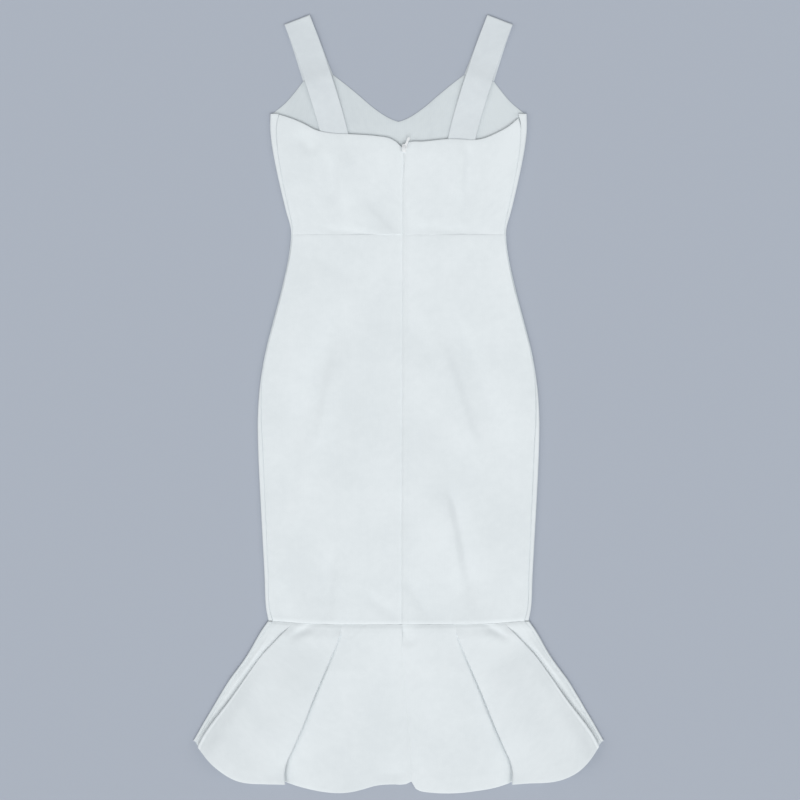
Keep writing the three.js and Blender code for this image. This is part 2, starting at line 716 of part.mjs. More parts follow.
function strap(side) {
  const middle = new THREE.CatmullRomCurve3(
    strapLine.map((place) => new THREE.Vector3(place.across, place.down, 0)),
  );
  const foldReach = strapFoldRadius + strapWall / 2;
  const footLeft = frontTop.find((place) => place.across === 134);
  const footRight = frontTop.find((place) => place.across === 92);
  const length = middle.getLength();
  const foot = 88 / length;
  const crossLine = (share, width) => {
    const centre = middle.getPointAt(share);
    const tangent = middle.getTangentAt(share);
    const outwards = new THREE.Vector3(-tangent.y, tangent.x, 0).normalize();
    if (outwards.x < 0) outwards.negate();
    return {
      inner: centre.clone().addScaledVector(outwards, -width / 2),
      outer: centre.clone().addScaledVector(outwards, width / 2),
    };
  };
  const rows = [];
  const addRow = (line, heights) => {
    const edges = [line.outer, line.outer.clone().lerp(line.inner, 0.5), line.inner];
    const points = edges.map((edge, i) => (
      new THREE.Vector3(onSide(side, edge.x), toY(edge.y), heights[i] ?? heights[0])
    ));
    rows.push(towardsX(side, points));
  };
  // Upper run, from under the back's top edge up to the fold
  const endShare = strapLineEnd[side] / length;
  const foldShare = foldReach / length;
  for (const part of shares(16)) {
    const share = lerp(endShare, foldShare, part);
    const line = crossLine(share, strapWidth);
    addRow(line, [strapHeightAt((line.inner.y + line.outer.y) / 2).height]);
  }
  // The fold
  const start = crossLine(foldShare, strapWidth);
  const back = middle.getTangentAt(0).normalize();
  for (const part of shares(4).slice(1)) {
    const turn = Math.PI * part;
    const reach = back.clone().multiplyScalar(-strapFoldRadius * Math.sin(turn));
    const line = { inner: start.inner.clone().add(reach), outer: start.outer.clone().add(reach) };
    addRow(line, [strapWall / 2 + strapFoldRadius * (1 + Math.cos(turn))]);
  }
  // Lower run, down to its foot on the front's top edge
  const footLine = {
    inner: new THREE.Vector3(footRight.across, footRight.down - seamGap, 0),
    outer: new THREE.Vector3(footLeft.across, footLeft.down - seamGap, 0),
  };
  const lowerStart = crossLine(foldShare, strapWidth);
  for (const part of shares(4).slice(1)) {
    const sweep = crossLine(lerp(foldShare, foot, part), strapWidth);
    const line = {
      inner: lowerStart.inner.clone().lerp(footLine.inner, part).lerp(sweep.inner, 0.5 * (1 - part)),
      outer: lowerStart.outer.clone().lerp(footLine.outer, part).lerp(sweep.outer, 0.5 * (1 - part)),
    };
    addRow(line, [strapWall / 2]);
  }
  return clothWall(`strap_${side}`, rows, strapWall, strapWhite);
}

// Zip: the tape under the centre-back edges, and the slider on them with its pull.

function backMiddleHeight(x, down) {
  const piece = down < waistDown ? 'bodice' : 'skirt';
  return bodyAt(down).level + creaseHeight(piece, x, down);
}

function zipTape() {
  const top = backTopAt.left(backTop.left[0].across).down + 1;
  const grid = shares(14).map((part) => {
    const down = lerp(top, top + zipLength, part);
    const middle = centreBackAt(down).across;
    return [-0.5, 0, 0.5].map((share) => {
      const x = middle + share * tapeWidth;
      const height = backMiddleHeight(x, down) - wall / 2 - layGap - tapeWall / 2;
      return new THREE.Vector3(x, toY(down), height);
    });
  });
  return clothWall('zip_tape', grid, tapeWall, tapeWhite);
}

const wasm = await Module();
wasm.setup();

function toSolid(geometry) {
  const bare = geometry.clone();
  bare.deleteAttribute('normal');
  bare.deleteAttribute('uv');
  const merged = mergeVertices(bare, 1e-4);
  const indexed = merged.index.array;
  return new wasm.Manifold(new wasm.Mesh({
    numProp: 3,
    vertProperties: new Float32Array(merged.attributes.position.array),
    triVerts: new Uint32Array(indexed),
  }));
}

function toGeometry(solid) {
  const mesh = solid.getMesh();
  const geometry = new THREE.BufferGeometry();
  geometry.setAttribute('position', new THREE.BufferAttribute(mesh.vertProperties, 3));
  geometry.setIndex(new THREE.BufferAttribute(mesh.triVerts, 1));
  geometry.computeVertexNormals();
  return geometry;
}

/** The slider's plate: wide shoulders towards the straps and a narrower tail. */
function sliderPlate() {
  const shoulder = sliderWidth / 2;
  const tail = sliderWidth / 2 - 1;
  const nose = sliderLength / 2;
  const outline = new THREE.Shape();
  outline.moveTo(-tail, -nose + 1);
  outline.quadraticCurveTo(-tail, -nose, -tail + 1, -nose);
  outline.lineTo(tail - 1, -nose);
  outline.quadraticCurveTo(tail, -nose, tail, -nose + 1);
  outline.lineTo(shoulder, nose - 3);
  outline.quadraticCurveTo(shoulder, nose, shoulder - 2.4, nose);
  outline.lineTo(-shoulder + 2.4, nose);
  outline.quadraticCurveTo(-shoulder, nose, -shoulder, nose - 3);
  outline.closePath();
  const bevel = 0.45;
  return new THREE.ExtrudeGeometry(outline, {
    depth: sliderHeight - 2 * bevel,
    bevelEnabled: true,
    bevelThickness: bevel,
    bevelSize: bevel,
    bevelOffset: -bevel,
    bevelSegments: 2,
    curveSegments: 4,
  }).translate(0, 0, bevel);
}

/** The bridge over the pull's bar. */
function sliderBridge() {
  const leg = bridgeInside + bridgeThickness;
  const outline = new THREE.Shape();
  outline.moveTo(-leg, -0.3);
  outline.lineTo(-leg, bridgeClear - 0.2);
  outline.quadraticCurveTo(-leg, bridgeClear + bridgeThickness, -leg + 1.2, bridgeClear + bridgeThickness);
  outline.lineTo(leg - 1.2, bridgeClear + bridgeThickness);
  outline.quadraticCurveTo(leg, bridgeClear + bridgeThickness, leg, bridgeClear - 0.2);
  outline.lineTo(leg, -0.3);
  outline.lineTo(bridgeInside, -0.3);
  outline.lineTo(bridgeInside, bridgeClear);
  outline.lineTo(-bridgeInside, bridgeClear);
  outline.lineTo(-bridgeInside, -0.3);
  outline.closePath();
  return new THREE.ExtrudeGeometry(outline, { depth: bridgeWidth, bevelEnabled: false, curveSegments: 3 })
    .rotateX(Math.PI / 2)
    .rotateZ(Math.PI / 2)
    .translate(-bridgeWidth / 2, 0, sliderHeight);
}

const sliderBottom = backMiddleHeight(sliderAcross, sliderDown) + wall / 2 + layGap;
const pullAxisHeight = sliderBottom + sliderHeight + bridgeClear / 2;

function zipSlider() {
  const solid = toSolid(sliderPlate()).add(toSolid(sliderBridge()));
  const mesh = namedMesh('zip_slider', toGeometry(solid), enamelWhite);
  mesh.position.set(sliderAcross, toY(sliderDown), sliderBottom);
  mesh.rotation.z = sliderTurn;
  return mesh;
}

/** The pull tab: a plate with an eye at one end, whose bar lies in the bridge's tunnel. */
function zipPull() {
  const outline = new THREE.Shape();
  const eye = pullEyeWidth / 2;
  const tip = pullTipWidth / 2;
  outline.moveTo(-eye, -pullBar / 2 + 0.3);
  outline.lineTo(-eye + 0.3, -pullBar / 2);
  outline.lineTo(eye - 0.3, -pullBar / 2);
  outline.lineTo(eye, -pullBar / 2 + 0.3);
  outline.lineTo(eye, eyeLength);
  outline.quadraticCurveTo(eye, eyeLength + 1.8, tip - 0.3, eyeLength + 4);
  outline.lineTo(tip, pullLength - tip - 1.5);
  outline.absarc(0, pullLength - tip - 0.5, tip, 0, Math.PI, false);
  outline.lineTo(-tip + 0.3, eyeLength + 4);
  outline.quadraticCurveTo(-eye, eyeLength + 1.8, -eye, eyeLength);
  outline.closePath();
  const hole = new THREE.Path();
  hole.moveTo(-eyeWidth / 2, pullBar / 2);
  hole.lineTo(eyeWidth / 2, pullBar / 2);
  hole.lineTo(eyeWidth / 2, eyeLength - 0.4);
  hole.quadraticCurveTo(eyeWidth / 2, eyeLength + 0.6, 0, eyeLength + 0.6);
  hole.quadraticCurveTo(-eyeWidth / 2, eyeLength + 0.6, -eyeWidth / 2, eyeLength - 0.4);
  hole.closePath();
  outline.holes.push(hole);
  const geometry = new THREE.ExtrudeGeometry(outline, {
    depth: pullThickness,
    bevelEnabled: false,
    curveSegments: 6,
  }).translate(0, 0, -pullThickness / 2);
  const mesh = namedMesh('zip_pull', toGeometry(toSolid(geometry)), enamelWhite);
  mesh.position.set(sliderAcross, toY(sliderDown), pullAxisHeight);
  mesh.rotation.z = sliderTurn + pullTurn;
  return mesh;
}

const dress = new THREE.Group();
dress.add(frontBodice(), frontSkirt(), frontFlounce());
for (const side of ['left', 'right']) {
  dress.add(backBodice(side), backSkirt(side), backFlounce(side), strap(side));
}
dress.add(zipTape(), zipSlider(), zipPull());

export default dress;
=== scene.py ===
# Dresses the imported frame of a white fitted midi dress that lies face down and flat.
# The cloth follows the solids: its grids are worked out from the same sizes, in millimetres,
# `down` from the straps' folds and `across` from the middle, and become metres in clothPiece.

import math

import bmesh
import bpy
import numpy as np
from mathutils import Matrix, Vector


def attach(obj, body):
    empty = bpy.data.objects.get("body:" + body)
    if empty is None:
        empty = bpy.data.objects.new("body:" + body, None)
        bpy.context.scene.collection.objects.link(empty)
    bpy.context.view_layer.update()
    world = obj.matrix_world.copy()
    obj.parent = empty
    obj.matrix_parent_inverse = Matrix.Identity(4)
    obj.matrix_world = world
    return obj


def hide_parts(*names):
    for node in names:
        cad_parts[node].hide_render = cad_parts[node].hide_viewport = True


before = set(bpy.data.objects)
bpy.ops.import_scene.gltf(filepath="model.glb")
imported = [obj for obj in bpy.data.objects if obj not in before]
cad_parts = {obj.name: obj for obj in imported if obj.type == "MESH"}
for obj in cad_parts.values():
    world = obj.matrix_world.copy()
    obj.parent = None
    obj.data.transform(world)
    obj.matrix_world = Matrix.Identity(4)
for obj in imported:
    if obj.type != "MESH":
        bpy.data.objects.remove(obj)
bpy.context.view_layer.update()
mm = 0.001
print("frame loaded:", len(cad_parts), "nodes")

# Sizes that every piece shares
dress = {
    "length": 1091,
    "wall": 1.5,  # the solids' wall, whose middle the cloth follows
    "cloth": 1.2,  # the cloth's own thickness
    "seamGap": 0.3,  # the solids' gap, kept at the hip
    "centreJoin": 0.08,
    "seamJoin": -0.4,  # at the waist the cloth's round edges press into each other
    "sideJoin": 0.02,
    "cornerNotch": 0.9,
    "waistDown": 308.5,
    "hipSeamDown": 855,
    "hipSeamRise": 5.5,
    "frontHemShy": 3,
    "tuckShy": 2,
}
wall = dress["wall"]


def mix(low, high, share):
    return low + (high - low) * share


def ease(value, low, high):
    share = np.clip((value - low) / (high - low), 0, 1)
    return share * share * (3 - 2 * share)


def bump(value, middle, width):
    return np.exp(-(((value - middle) / width) ** 2))


def toY(down):
    return dress["length"] / 2 - down


def onSide(side, across):
    return -across if side == "left" else across


def curveThrough(names, rows):
    # a smooth curve through each column of a table, against its first column
    places = np.array([row[0] for row in rows], float)
    values = np.array([row[1:] for row in rows], float)
    slants = np.diff(values, axis=0) / np.diff(places)[:, None]
    slopes = np.vstack([slants[:1], (slants[:-1] + slants[1:]) / 2, slants[-1:]])

    def read(place):
        place = np.clip(np.asarray(place, float), places[0], places[-1])
        i = np.clip(np.searchsorted(places, place, side="right") - 1, 0, len(places) - 2)
        span = (places[i + 1] - places[i])[..., None]
        p = (place - places[i])[..., None] / span
        found = (
            (2 * p**3 - 3 * p**2 + 1) * values[i]
            + (p**3 - 2 * p**2 + p) * span * slopes[i]
            + (3 * p**2 - 2 * p**3) * values[i + 1]
            + (p**3 - p**2) * span * slopes[i + 1]
        )
        return {name: found[..., k] for k, name in enumerate(names[1:])}

    return read


# The body's sections: half its width, how far the front wraps over the back, the side fold's
# radius and the height of the back's mid-wall
bodyAt = curveThrough(("down", "half", "wrap", "fold", "level"), (
    (139.5, 179.8, 12, 2.05, 5.0),
    (152, 180.4, 9.6, 2.1, 5.15),
    (166, 179.9, 8.4, 2.1, 5.3),
    (187, 177.3, 7.3, 2.1, 5.3),
    (210, 173.1, 6.4, 2.05, 5.25),
    (243, 165.9, 5.5, 1.95, 5.1),
    (277, 157.6, 4.5, 1.85, 4.8),
    (299, 151.6, 2.7, 1.8, 4.5),
    (314, 151, 1.4, 1.8, 4.5),
    (339, 153.8, 0.9, 1.85, 4.8),
    (384, 163.5, 0.8, 1.9, 5.15),
    (428, 175, 0.9, 1.95, 5.3),
    (473, 186.5, 1.1, 1.95, 5.3),
    (518, 194.3, 2.6, 1.95, 5.2),
    (563, 197.6, 5, 1.95, 5.1),
    (608, 197.2, 6.8, 1.95, 5.05),
    (652, 195.4, 6.9, 1.9, 5),
    (720, 191.8, 6.2, 1.9, 4.9),
    (787, 188.2, 5.6, 1.8, 4.7),
    (832, 186, 5, 1.7, 4.4),
    (849.5, 182.6, 6, 1.65, 4.2),
))
bodyTop, bodyBottom = 139.5, 849.5

flounceAt = curveThrough(("down", "half", "wrap", "fold"), (
    (849.5, 182.6, 6, 1.65),
    (862, 191.5, 5, 1.6),
    (876, 199.8, 4.4, 1.55),
    (890, 207.6, 4, 1.5),
    (904, 216.4, 4, 1.45),
    (918, 226.6, 4, 1.4),
    (932, 237, 4, 1.4),
    (953, 250, 4, 1.35),
    (974, 262.3, 4, 1.3),
    (992, 273, 4.2, 1.25),
    (1018.5, 288, 4.6, 1.25),
))
flounceTop, flounceBottom = 849.5, 1018.5
flounceTopHalf, flounceBottomHalf = 182.6, 288

# The front's top edge in three stretches: the V, the strap's foot and the armhole
frontTopStretches = (
    curveThrough(("across", "down"), (
        (0, 150), (8, 147.4), (20, 141.2), (36, 130), (55, 113.8), (72, 99.8), (92, 84.3),
    )),
    curveThrough(("across", "down"), ((92, 84.3), (134, 93.4))),
    curveThrough(("across", "down"), (
        (134, 93.4), (146, 109), (158, 122.8), (168, 131.5), (177, 138.6),
    )),
)

backTopAt = {
    "left": curveThrough(("across", "down"), (
        (-6.5, 187), (-3, 185), (3, 179.2), (12, 174), (29, 170.8), (55, 168.6), (73, 167.8),
        (99, 166), (117, 161.6), (132, 153.8), (147, 147.2), (170, 139.5),
    )),
    "right": curveThrough(("across", "down"), (
        (6.5, 187), (10, 181.5), (15, 179.2), (35, 178.2), (71, 174.8), (90, 175.4),
        (106, 176), (120, 173.6), (138, 166), (156, 155.8), (172, 141.6),
    )),
}

hemAt = {
    "left": curveThrough(("across", "down"), (
        (-18, 1075), (-13.7, 1077.4), (-6, 1079.2), (9, 1078.8), (32, 1080.4), (51, 1085.6),
        (70, 1089.4), (90, 1090), (109, 1087.9), (126, 1084.9), (144, 1081), (154, 1078.4),
        (165, 1076.7), (187, 1075.4), (207, 1074.3), (222, 1071.6), (236, 1065.8),
        (251, 1056), (264, 1045), (280, 1027), (288, 1018.5),
    )),
    "right": curveThrough(("across", "down"), (
        (18, 1075), (20.5, 1080.5), (25, 1086), (33, 1088.8), (44, 1090.2), (66, 1091),
        (93, 1089.4), (109, 1087.2), (136, 1083), (152, 1079.3), (160, 1077.2),
        (181, 1074.4), (203, 1073.2), (218, 1071.4), (234, 1066.8), (252, 1057),
        (269, 1040.5), (281, 1024.5), (288, 1018.5),
    )),
}

centreBackAt = curveThrough(("down", "across"), (
    (139.5, 7), (187, 6.5), (204, 5.6), (308, 5.4), (560, 4.9), (855, 4.6), (872, 5),
    (889, 4.2), (930, 7), (973, 10.6), (1024, 15.4), (1075, 18),
))
centreBackAtHem = 18


def hipSeamAt(across):
    rise = np.minimum(1, np.abs(across) / 182) ** 3
    return dress["hipSeamDown"] - dress["hipSeamRise"] * rise


def centreAcross(side, down):
    return onSide(side, centreBackAt(down)["across"]) + dress["centreJoin"] / 2


# The side fold turns up from the surface and runs inwards on top
def foldStart(section):
    return section["half"] - wall / 2 - section["fold"]


def sideFoldPoint(section, along):
    fold = section["fold"]
    arc = math.pi * fold
    turn = np.minimum(along, arc) / fold
    across = foldStart(section) + fold * np.sin(turn) - np.maximum(along - arc, 0)
    return across, wall / 2 + fold * (1 - np.cos(turn))


def sideSeam(section):
    wrap = np.maximum(section["wrap"], wall / 2)
    fold = section["fold"]
    straight = wrap - wall / 2 - fold
    sine = np.clip(1 - (wrap - wall / 2) / fold, -1, 1)
    return np.where(straight >= 0, math.pi * fold + straight, fold * (math.pi - np.arcsin(sine)))


def sideGap(section):
    return dress["sideJoin"] * section["fold"] / (section["fold"] - wall / 2) / 2


# Relief: what lies on a grid besides its form

def gridNormals(points):
    downwards = np.gradient(points, axis=0)
    rightwards = np.gradient(points, axis=1)
    normals = np.cross(downwards, rightwards)
    return normals / np.maximum(np.linalg.norm(normals, axis=2, keepdims=True), 1e-9)


def gridSpans(points):
    # how far each point is, over the cloth, from the grid's top row and its left column
    down = np.linalg.norm(np.diff(points, axis=0, prepend=points[:1]), axis=2).cumsum(axis=0)
    across = np.linalg.norm(np.diff(points, axis=1, prepend=points[:, :1]), axis=2).cumsum(axis=1)
    return down, across


def softWaves(x, y, size, seed, stretch=1.0):
    # smooth uneven waves of about one size, between -1 and 1
    draw = np.random.default_rng(seed)
    total = np.zeros(np.broadcast(x, y).shape)
    for _ in range(14):
        heading = draw.uniform(0, 2 * math.pi)
        length = size * draw.uniform(0.75, 1.6)
        phase = draw.uniform(0, 2 * math.pi)
        way = x * math.cos(heading) + y * math.sin(heading) / stretch
        total += np.sin(2 * math.pi * way / length + phase)
    return total / 5.5


def creaseRelief(creases, x, down):
    # each crease runs from one place to another and may be steeper on one flank
    total = np.zeros_like(x)
    for crease in creases:
        (x0, d0), (x1, d1) = crease["from"], crease["to"]
        length = math.hypot(x1 - x0, d1 - d0)
        ux, ud = (x1 - x0) / length, (d1 - d0) / length
        along = (x - x0) * ux + (down - d0) * ud
        aside = (x - x0) * ud - (down - d0) * ux
        aside = aside - crease.get("bow", 0) * np.clip(1 - (2 * along / length - 1) ** 2, 0, 1)
        width = np.where(aside > 0, crease["widths"][1], crease["widths"][0])
        ends = ease(along, -0.25 * length, 0.3 * length) * ease(along, 1.25 * length, 0.7 * length)
        total += crease["height"] * ends * np.exp(-((aside / width) ** 2))
    return total


# How a piece's edges are finished. dip and round: the edge rolls down by dip over about round.
# ridge and allowance: the end of the allowance behind shows through. pucker, pitch and reach:
# small gathers at pitch that fade over reach
finishNames = ("dip", "round", "ridge", "allowance", "pucker", "pitch", "reach")
edgeFinishes = {
    "waist": (0.1, 1.2, 0.12, 8, 0.1, 13, 8),
    "seam": (0.3, 1.3, 0.16, 8, 0.12, 9, 6),
    "side": (0.75, 1.3, 0.2, 8, 0.12, 9, 6),
    "hipSeam": (0.8, 2.0, 0.35, 4, 0.16, 9, 9),
    "flounceTop": (1.3, 3.2, 0.1, 12, 0.3, 12, 14),
    "turned": (0.25, 1.0, 0.1, 8, 0.14, 11, 12),
    "hem": (0.2, 1.0, 0.12, 20, 0.22, 17, 22),
    "zipLeft": (1.5, 4.2, 0.15, 11, 0.14, 9, 8),
    "zipRight": (1.5, 1.7, 1.15, 4.4, 0.14, 9, 8),
    "strapEdge": (0.0, 1.0, -0.1, 2, 0.08, 8, 5),
}
allowanceEdge = 1.8  # how softly the allowance's end shows


def edgeRelief(away, along, finishName, seed):
    if finishName is None:
        return 0
    finish = dict(zip(finishNames, edgeFinishes[finishName]))
    roll = -finish["dip"] * bump(away, 0, finish["round"])
    shown = finish["ridge"] * bump(away, finish["allowance"], allowanceEdge)
    gathers = softWaves(along, along * 0, finish["pitch"], seed)
    return roll + shown + finish["pucker"] * gathers * np.exp(-away / finish["reach"])


fluteLift = {"height": 2.6, "from": (72, 92), "to": (128, 158), "aboveReach": 34, "belowReach": 13}
# the cloth's slight unevenness: each wave's size in mm, its share and how far it is drawn out
crumpleWaves = ((75, 1.0, 1.7), (26, 0.35, 1.0), (9, 0.1, 1.0))


def liftOverFlutes(x, down):
    # the flutes are caught in the hip seam and lift both its edges
    over = ease(np.abs(x), *fluteLift["from"]) * (1 - ease(np.abs(x), *fluteLift["to"]))
    away = down - hipSeamAt(x)
    reach = np.where(away < 0, fluteLift["aboveReach"], fluteLift["belowReach"])
    return fluteLift["height"] * over * np.exp(-((away / reach) ** 2))


def dressGrid(points, finishes, seed, creases=(), crumple=0.3, upOnly=False):
    # adds a grid's relief along its own facing; finishes are for its top, bottom, left and right
    down, across = gridSpans(points)
    x, d = points[..., 0], toY(points[..., 1])
    relief = creaseRelief(creases, x, d)
    for k, (size, share, stretch) in enumerate(crumpleWaves):
        relief += crumple * share * softWaves(x, d, size, seed + k, stretch)
    if not upOnly:
        relief += liftOverFlutes(x, d)
    distances = (down, down[-1:] - down, across, across[:, -1:] - across)
    runs = (across, across, down, down)
    for k in range(4):
        relief = relief + edgeRelief(distances[k], runs[k], finishes[k], seed + 10 + k)
    normals = gridNormals(points)
    if upOnly:
        relief = np.where(normals[..., 2] > 0.5, np.maximum(relief, 0), relief * 0.4)
    return points + normals * relief[..., None]


# Making a cloth piece from its grid

def clothPiece(name, points, outside, inside, thickness=dress["cloth"], edge=0.42):
    rows, columns = points.shape[:2]
    bm = bmesh.new()
    bmesh.ops.create_grid(bm, x_segments=columns - 1, y_segments=rows - 1, size=0.5)
    mesh = bpy.data.meshes.new(name)
    bm.to_mesh(mesh)
    bm.free()
    places = np.empty(len(mesh.vertices) * 3)
    mesh.vertices.foreach_get("co", places)
    places = places.reshape(-1, 3)
    column = np.rint((places[:, 0] + 0.5) * (columns - 1)).astype(int)
    row = np.rint((0.5 - places[:, 1]) * (rows - 1)).astype(int)
    mesh.vertices.foreach_set("co", (points[row, column] * mm).ravel())
    # the grain: along the weft and down the wales, in metres over the cloth
    down, across = gridSpans(points)
    middle = int(np.abs(points[rows // 2, :, 0]).argmin())
    grain = np.stack([across - across[:, middle : middle + 1], -down], axis=2) * mm
    corners = np.empty(len(mesh.loops), np.int32)
    mesh.loops.foreach_get("vertex_index", corners)
    layer = mesh.uv_layers.new(name="grain")
    layer.data.foreach_set("uv", grain[row, column][corners].ravel())
    mesh.polygons.foreach_set("use_smooth", np.ones(len(mesh.polygons), bool))
    mesh.materials.append(outside)
    mesh.materials.append(inside)
    mesh.update()
    piece = bpy.data.objects.new(name, mesh)
    bpy.context.scene.collection.objects.link(piece)
    solid = piece.modifiers.new("thickness", "SOLIDIFY")
    solid.thickness = thickness * mm
    solid.offset = 0
    solid.use_even_offset = False
    solid.material_offset = 1
    rounded = piece.modifiers.new("roundedEdges", "BEVEL")
    rounded.width = edge * mm
    rounded.segments = 3
    rounded.limit_method = "ANGLE"
    rounded.angle_limit = math.radians(50)
    return piece


# Materials

def newMaterial(name):
    material = bpy.data.materials.new(name)
    material.use_nodes = True
    tree = material.node_tree
    tree.nodes.clear()
    output = tree.nodes.new("ShaderNodeOutputMaterial")
    shader = tree.nodes.new("ShaderNodeBsdfPrincipled")
    tree.links.new(shader.outputs[0], output.inputs[0])
    return material, tree, shader


def addNode(tree, kind, inputs=None, **settings):
    node = tree.nodes.new(kind)
    for key, value in settings.items():
        setattr(node, key, value)
    for key, value in (inputs or {}).items():
        if isinstance(value, bpy.types.NodeSocket):
            tree.links.new(value, node.inputs[key])
        else:
            node.inputs[key].default_value = value
    return node


clothLook = {
    "colour": (0.815, 0.853, 0.867),
    "shade": (0.755, 0.795, 0.81),
    "roughness": 0.88,
    "sheen": 0.22,
    "wale": 1.05,  # mm between the knit's ribs
    "course": 0.8,
    "knitDepth": 0.09,
    "fuzz": 0.35,
}


def knitMaterial(name, look):
    material, tree, shader = newMaterial(name)
    shader.inputs["Roughness"].default_value = look["roughness"]
    shader.inputs["Specular IOR Level"].default_value = 0.25
    shader.inputs["Sheen Weight"].default_value = look["sheen"]
    shader.inputs["Sheen Roughness"].default_value = 0.6
    grain = addNode(tree, "ShaderNodeUVMap", uv_map="grain").outputs[0]
    rows = []
    for size, direction, distortion in ((look["wale"], "X", 0.6), (look["course"], "Y", 0.8)):
        rows.append(addNode(tree, "ShaderNodeTexWave", {
            "Vector": grain, "Scale": 1 / (size * mm) / 20 * math.pi,
            "Distortion": distortion, "Detail": 1.0,
        }, wave_type="BANDS", bands_direction=direction).outputs["Fac"])
    loops = addNode(tree, "ShaderNodeMath", {0: rows[0], 1: rows[1]}, operation="MULTIPLY")
    fuzz, slubs, patches = (
        addNode(tree, "ShaderNodeTexNoise", {
            "Vector": grain, "Scale": scale, "Detail": detail, "Roughness": roughness,
        }).outputs["Fac"]
        for scale, detail, roughness in ((2600, 3.0, 0.65), (90, 4.0, 0.6), (9, 2.0, 0.5))
    )
    height = addNode(tree, "ShaderNodeMath", {
        0: fuzz, 1: look["fuzz"], 2: loops.outputs[0],
    }, operation="MULTIPLY_ADD")
    bumpNode = addNode(tree, "ShaderNodeBump", {
        "Height": height.outputs[0], "Strength": 0.5, "Distance": look["knitDepth"] * mm,
    })
    tree.links.new(bumpNode.outputs[0], shader.inputs["Normal"])
    tone = addNode(tree, "ShaderNodeMath", {0: slubs, 1: 0.5, 2: patches}, operation="MULTIPLY_ADD")
    toneRange = addNode(tree, "ShaderNodeMapRange", {
        "Value": tone.outputs[0], "From Min": 0.55, "From Max": 0.95, "To Min": 0.9, "To Max": 0.0,
    })
    loopTone = addNode(tree, "ShaderNodeMath", {
        0: loops.outputs[0], 1: -0.35, 2: toneRange.outputs[0],
    }, operation="MULTIPLY_ADD")
    loopShift = addNode(tree, "ShaderNodeMath", {
        0: loopTone.outputs[0], 1: 0.2,
    }, operation="ADD", use_clamp=True)
    colour = addNode(tree, "ShaderNodeMix", {
        "Factor": loopShift.outputs[0], "A": (*look["colour"], 1), "B": (*look["shade"], 1),
    }, data_type="RGBA")
    tree.links.new(colour.outputs["Result"], shader.inputs["Base Color"])
    return material


print("materials")
knitFace = knitMaterial("knitFace", clothLook)
# the cloth's back face: a coarser knit, coloured darker and greyer than the face
knitBack = knitMaterial("knitBack", {
    **clothLook, "colour": (0.70, 0.745, 0.76), "shade": (0.63, 0.675, 0.695),
    "wale": 1.5, "course": 0.7,
})
# the straps' knit, coloured darker and greyer than the dress's face
strapKnit = knitMaterial("strapKnit", {
    **clothLook, "colour": (0.725, 0.765, 0.785), "shade": (0.655, 0.695, 0.72), "course": 0.9,
})

# Creases in the cloth that shows
bodiceCreases = (
    {"from": (-97, 206), "to": (-92, 262), "widths": (11, 8), "height": -1.9},
    {"from": (-78, 200), "to": (-76, 262), "widths": (9, 14), "height": 1.53},
    {"from": (101, 188), "to": (97, 262), "widths": (9, 8), "height": -1.3},
    {"from": (89, 182), "to": (86, 256), "widths": (14, 6), "height": 1.9},
    {"from": (-50, 268), "to": (2, 322), "widths": (20, 8), "height": 1.5},
    {"from": (-104, 300), "to": (-36, 309), "widths": (8, 5), "height": -1.16},
    {"from": (30, 300), "to": (120, 306), "widths": (6, 8), "height": -0.87},
    {"from": (-26, 190), "to": (-12, 300), "widths": (26, 9), "height": -1.59},
    {"from": (-140, 170), "to": (-118, 192), "widths": (10, 9), "height": -1.74},
    {"from": (44, 196), "to": (48, 244), "widths": (16, 14), "height": -1.01},
    {"from": (14, 240), "to": (22, 296), "widths": (8, 14), "height": 1.02},
)
skirtCreases = (
    {"from": (-90, 430), "to": (-138, 600), "widths": (13, 30), "height": -2.82, "bow": -8},
    {"from": (-62, 505), "to": (-118, 680), "widths": (16, 26), "height": -1.41, "bow": -6},
    {"from": (-86, 470), "to": (-112, 600), "widths": (9, 24), "height": 2.82},
    {"from": (79, 428), "to": (138, 600), "widths": (30, 13), "height": -2.82, "bow": 8},
    {"from": (24, 432), "to": (84, 560), "widths": (24, 12), "height": -1.54},
    {"from": (60, 470), "to": (108, 610), "widths": (24, 9), "height": 2.82},
    {"from": (73, 668), "to": (100, 800), "widths": (6, 18), "height": -2.56, "bow": 3},
    {"from": (66, 680), "to": (86, 790), "widths": (16, 6), "height": 2.31},
    {"from": (98, 780), "to": (118, 850), "widths": (14, 20), "height": -1.66},
    {"from": (-97, 762), "to": (-100, 850), "widths": (12, 8), "height": -1.92},
    {"from": (-84, 775), "to": (-82, 850), "widths": (8, 16), "height": 1.8},
    {"from": (-10, 480), "to": (-6, 845), "widths": (20, 6), "height": -0.9},
    {"from": (26, 560), "to": (24, 840), "widths": (10, 16), "height": -1.15},
    {"from": (12, 790), "to": (44, 850), "widths": (8, 14), "height": -1.41},
    {"from": (-44, 812), "to": (-2, 846), "widths": (10, 8), "height": -1.28},
    {"from": (-150, 540), "to": (-158, 690), "widths": (12, 22), "height": -1.15},
    {"from": (152, 560), "to": (160, 700), "widths": (22, 12), "height": -1.15},
    {"from": (-168, 800), "to": (-158, 852), "widths": (10, 12), "height": -1.28},
    {"from": (168, 796), "to": (160, 852), "widths": (12, 10), "height": -1.28},
    {"from": (-120, 330), "to": (-60, 380), "widths": (14, 20), "height": -0.9},
    {"from": (112, 330), "to": (66, 372), "widths": (18, 14), "height": -0.9},
)
